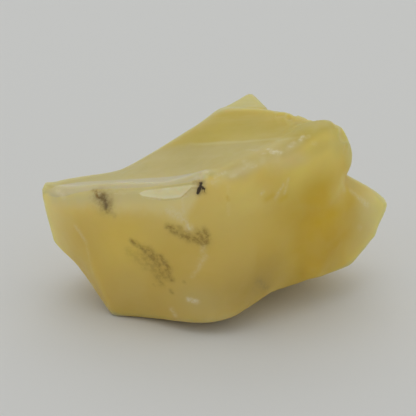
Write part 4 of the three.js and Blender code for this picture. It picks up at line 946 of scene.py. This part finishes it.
def opal():
    mat = bpy.data.materials.new("opal_stone")
    mat.use_nodes = True
    mat.node_tree.nodes.clear()
    G = Graph(mat.node_tree)
    out = G.node("ShaderNodeOutputMaterial")
    bsdf = G.node("ShaderNodeBsdfPrincipled")
    mat.node_tree.links.new(bsdf.outputs[0], out.inputs[0])
    p = G.vec("SCALE", G.node("ShaderNodeTexCoord").outputs["Object"], 1000.0)
    times = lambda a, b: G.math("MULTIPLY", a, b)
    plus = lambda a, b: G.math("ADD", a, b)

    cloud = G.noise(p, 0.16, 3.0, 0.5, 0.6)
    small = G.noise(p, 0.7, 3.0, 0.5, 0.3)
    grain = G.noise(p, 3.0, 3.0, 0.6)
    grit = G.noise(p, 2.3, 3.0, 0.60)

    # the milky body: deeper ochre low down and on the right, paler towards the top and the thin ends; partly the
    # stone's own tone, partly painted shade low down and on the side turned from the light, and painted light at the
    # top and through the thin ends
    warp = G.vec("SCALE", G.vec("SUBTRACT", G.node("ShaderNodeTexNoise").outputs[1], (0.5, 0.5, 0.5)), 2.6)
    wn = [n for n in G.t.nodes if n.type == "TEX_NOISE"][-1]
    G.put(wn.inputs["Vector"], p)
    G.put(wn.inputs["Scale"], 0.17)
    G.put(wn.inputs["Detail"], 2.0)
    q = G.vec("ADD", p, warp)
    parts = G.node("ShaderNodeSeparateXYZ")
    G.put(parts.inputs[0], q)
    along = {"x": parts.outputs[0], "y": parts.outputs[1], "z": parts.outputs[2]}
    col = G.zones(BODY_TONE_LIGHT_AND_SHADE, along, q)

    # the hollow top: painted greyer and darker than the body, partly the stone's own tone and partly painted sheen of
    # the bright surroundings on it; banded along the arcs of the break
    v = G.vec("DOT_PRODUCT", p, (-0.045, 0.4226, 0.9063))
    wave = G.noise(G.vec("MULTIPLY", p, (0.12, 0.3, 0.3)), 1.0, 2.0, 0.5, 0.3)
    vv = plus(v, times(plus(wave, -0.5), 0.9))
    flat = G.node("ShaderNodeSeparateXYZ")
    G.put(flat.inputs[0], p)
    top_sheen_colour = G.zones(TOP_TONE_AND_SHEEN, {"x": flat.outputs[0], "y": flat.outputs[1], "z": flat.outputs[2], "v": vv}, p)
    lay = G.node("ShaderNodeCombineXYZ")
    G.put(lay.inputs[0], times(flat.outputs[0], 0.05))
    G.put(lay.inputs[1], times(v, 0.8))
    G.put(lay.inputs[2], times(flat.outputs[1], 0.05))
    bands = G.noise(lay.outputs[0], 1.0, 4.0, 0.65, 0.2)
    top_sheen_colour = G.mix(G.step(bands, 0.45, 0.72, 0.0, 0.16), top_sheen_colour, rgb(0.72, 0.64, 0.30))
    top_sheen_colour = G.mix(G.step(bands, 0.50, 0.28, 0.0, 0.12), top_sheen_colour, rgb(0.54, 0.43, 0.07))
    arc = times(G.step(vv, 16.72, 16.98), G.step(vv, 17.25, 17.0))
    top_sheen_colour = G.mix(times(arc, times(G.step(flat.outputs[0], -5.0, 0.0, 0.0, 0.26), G.step(flat.outputs[0], 11.0, 7.0))), top_sheen_colour, rgb(0.78, 0.72, 0.42))
    arc = times(G.step(vv, 20.45, 20.75), G.step(vv, 21.1, 20.8))
    top_sheen_colour = G.mix(times(arc, 0.12), top_sheen_colour, rgb(0.74, 0.66, 0.36))
    top = G.attr("top")
    col = G.mix(top, col, top_sheen_colour)

    # soft clouding through the whole stone, and clearer, stronger yellow spots
    col = G.mix(G.step(cloud, 0.38, 0.70, 0.0, 0.16), col, rgb(0.80, 0.67, 0.26))
    col = G.mix(G.step(small, 0.50, 0.75, 0.0, 0.05), col, rgb(0.60, 0.43, 0.06))
    col = G.mix(G.attr("rich"), col, rgb(0.72, 0.50, 0.02))

    # painted shade: sharp edges and corners are painted darker and duller, standing in for less light on them
    stand = G.step(G.attr("stand"), 0.03, 0.16)
    col = G.mix(times(stand, EDGE_SHADE_SHARE), col, rgb(*EDGE_SHADE_COLOUR))

    # painted light: the thin edges are painted paler and greyer, standing in for the light seen along them
    col = G.mix(times(G.attr("thin"), 0.80), col, rgb(*THIN_EDGE_LIGHT))

    # painted sheen on the shoulder and painted light on the pale bevel on the left, painted shadow lines under the
    # bevel and the flake's lip, worn flakes on the right
    seen = G.attr("seen")
    lipd = plus(G.attr("lip"), times(plus(small, -0.5), 0.10))
    under = G.attr("under")
    # painted sheen: the upward-turned shoulder under the bevel is painted greyer and paler, standing in for more light
    # and reflection on it
    shoulder_sheen_colour = G.mix(G.step(under, 0.5, 2.3), rgb(*SHOULDER_SHEEN), rgb(*SHOULDER_SHEEN_FOOT))
    shoulder = times(times(G.step(plus(G.attr("shade"), times(plus(small, -0.5), 1.2)), -1.0, 1.0), seen), 0.92)
    col = G.mix(shoulder, col, shoulder_sheen_colour)
    # the flake scar is painted paler, partly its fresh break and partly painted light on its up-turned face
    chipd = plus(G.attr("chip"), times(plus(small, -0.5), 0.12))
    flake = times(times(G.step(chipd, 0.0, 0.16), seen), G.step(G.attr("chip_top"), 0.0, 0.55, 0.25, 1.0))
    col = G.mix(flake, col, rgb(*FLAKE_PALE_AND_LIT))
    # painted highlight along the flake's lower lip
    bright = times(G.step(chipd, 0.04, 0.14), G.step(chipd, 0.62, 0.20))
    col = G.mix(times(times(bright, seen), G.step(small, 0.35, 0.6, 0.15, 0.6)), col, rgb(0.90, 0.85, 0.66))
    # painted shadow: a thin dark line under the flake's lower lip
    lee = times(times(G.step(chipd, -0.22, -0.06), G.step(chipd, 0.04, -0.04)), times(seen, G.step(flat.outputs[0], -7.6, -5.6)))
    col = G.mix(times(lee, 0.30), col, rgb(0.50, 0.41, 0.17))
    # painted shadow: a thin dark line under the bevel's lower edge
    dark = times(times(G.step(under, -0.02, 0.08), G.step(under, 0.32, 0.10)), times(seen, G.step(flat.outputs[0], -15.0, -13.8)))
    dark = times(dark, G.step(G.attr("chip_top"), -0.7, -0.3, 1.0, 0.35))
    col = G.mix(times(dark, 0.30), col, rgb(0.50, 0.41, 0.17))
    # painted light: the bevel is painted paler, standing in for the light that the up-turned bevel catches
    rim = times(times(G.step(lipd, 0.0, 0.13), seen), G.step(small, 0.3, 0.55, 0.8, 1.0))
    col = G.mix(rim, col, rgb(*BEVEL_LIGHT))
    crush = times(G.attr("crush"), G.step(G.noise(p, 1.6, 3.0, 0.6, 0.8), 0.45, 0.65))
    col = G.mix(times(crush, 0.16), col, rgb(0.84, 0.78, 0.52))

    # partly painted highlight: the pale band along the rounded right half of the long edge
    veil_and_highlight = times(G.attr("veil_and_highlight"), G.step(small, 0.3, 0.65, 0.55, 1.0))
    col = G.mix(times(veil_and_highlight, 0.62), col, rgb(0.84, 0.78, 0.54))

    # white bruises where the skin is full of tiny cracks; along the long edge and the crest partly painted glints on
    # small chips
    br = G.attr("bruise_and_glint")
    white = times(br, G.step(grain, 0.36, 0.62, 0.45, 1.15))
    white = G.math("MINIMUM", white, 1.0)
    col = G.mix(times(white, 0.70), col, rgb(0.88, 0.83, 0.65))

    # dark mineral growths, granular and branching
    st = G.attr("stain")
    stain = times(st, G.step(grit, 0.36, 0.64, 0.52, 1.12))
    stain = G.math("MINIMUM", stain, 0.92)
    col = G.mix(stain, col, rgb(0.29, 0.168, 0.022))
    dusk = G.math("MINIMUM", times(G.attr("dusk"), G.step(grit, 0.35, 0.60, 0.7, 1.1)), 0.9)
    col = G.mix(dusk, col, rgb(0.23, 0.160, 0.060))
    black = G.step(plus(G.attr("black"), times(plus(grit, -0.5), 0.5)), 0.32, 0.72)
    col = G.mix(times(black, 0.97), col, rgb(0.045, 0.024, 0.008))
    smudge = times(G.attr("smudge"), G.step(grain, 0.35, 0.62, 0.35, 0.8))
    col = G.mix(smudge, col, rgb(0.40, 0.29, 0.09))

    G.put(bsdf.inputs["Base Color"], col)
    broken = G.math("MAXIMUM", G.math("MAXIMUM", times(white, 0.9), times(crush, 0.6)), times(rim, 0.4))
    rough = G.step(small, 0.3, 0.7, 0.40, 0.47)
    rough = plus(rough, times(broken, 0.16))
    G.put(bsdf.inputs["Roughness"], rough)
    bsdf.inputs["IOR"].default_value = 1.45
    bsdf.inputs["Subsurface Weight"].default_value = 1.0
    bsdf.inputs["Subsurface Radius"].default_value = (1.0, 0.8, 0.35)
    bsdf.inputs["Subsurface Scale"].default_value = 0.004

    skin_bump = plus(times(small, 0.3), times(grain, plus(times(broken, 1.0), 0.10)))
    bump = G.node("ShaderNodeBump")
    bump.inputs["Strength"].default_value = 0.3
    bump.inputs["Distance"].default_value = 0.00010
    G.put(bump.inputs["Height"], skin_bump)
    G.put(bsdf.inputs["Normal"], bump.outputs[0])
    return mat


# colours of painted light and shade used above: thin-edge light, edge shade, shoulder sheen, flake light and bevel
# light
THIN_EDGE_LIGHT = (0.65, 0.60, 0.33)
EDGE_SHADE_SHARE, EDGE_SHADE_COLOUR = 0.6, (0.54, 0.49, 0.27)
SHOULDER_SHEEN, SHOULDER_SHEEN_FOOT = (0.718, 0.641, 0.328), (0.823, 0.712, 0.318)
FLAKE_PALE_AND_LIT = (0.855, 0.785, 0.495)
BEVEL_LIGHT = (0.652, 0.58, 0.355)
lump.data.materials.clear()
lump.data.materials.append(opal())

# ------------------------------------------------------------------ floor, light, camera
scene = bpy.context.scene
scene.view_settings.view_transform = "Standard"
scene.view_settings.look = "None"

bpy.ops.mesh.primitive_plane_add(size=4.0, location=(0, 0, 0))
floor = bpy.context.object
floor.name = "floor"
fm = bpy.data.materials.new("floor")
fm.use_nodes = True
fb = fm.node_tree.nodes["Principled BSDF"]
fb.inputs["Base Color"].default_value = (0.78, 0.78, 0.755, 1)
fb.inputs["Roughness"].default_value = 0.9
floor.data.materials.append(fm)

world = bpy.data.worlds.new("tent")
scene.world = world
world.use_nodes = True
bg = world.node_tree.nodes["Background"]
bg.inputs["Color"].default_value = (0.985, 1.0, 1.01, 1)
bg.inputs["Strength"].default_value = 0.508


def softbox(name, way, power, size=0.45, far=0.6):
    """A large soft light at a distance, turned to the stone."""
    light = bpy.data.lights.new(name, "AREA")
    light.shape = "SQUARE"
    light.size = size
    light.energy = power
    ob = bpy.data.objects.new(name, light)
    scene.collection.objects.link(ob)
    way = Vector(way).normalized()
    ob.location = way * far
    ob.rotation_euler = (-way).to_track_quat("-Z", "Y").to_euler()


softbox("softbox_top", (0, 0, 1), 0.43)
softbox("softbox_back", (0, 0.75, 0.66), 0.36)
softbox("softbox_right", (0.75, 0, 0.66), 0.11)
softbox("softbox_left", (-0.95, 0, 0.3), 0.06)

cam_data = bpy.data.cameras.new("camera")
cam = bpy.data.objects.new("camera", cam_data)
scene.collection.objects.link(cam)
AIM = ((-0.85 - 0.058) * MM, -1.29 * MM, 11.064 * MM)
DIST = 320.0 * MM
EL = math.radians(25.0)
cam.location = (AIM[0], AIM[1] - DIST * math.cos(EL), AIM[2] + DIST * math.sin(EL))
cam.rotation_euler = (math.pi / 2 - EL, 0, 0)
cam_data.sensor_width = 36.0
cam_data.lens = 2757.0 / 416 * 36.0
cam_data.clip_start = 0.01
scene.camera = cam
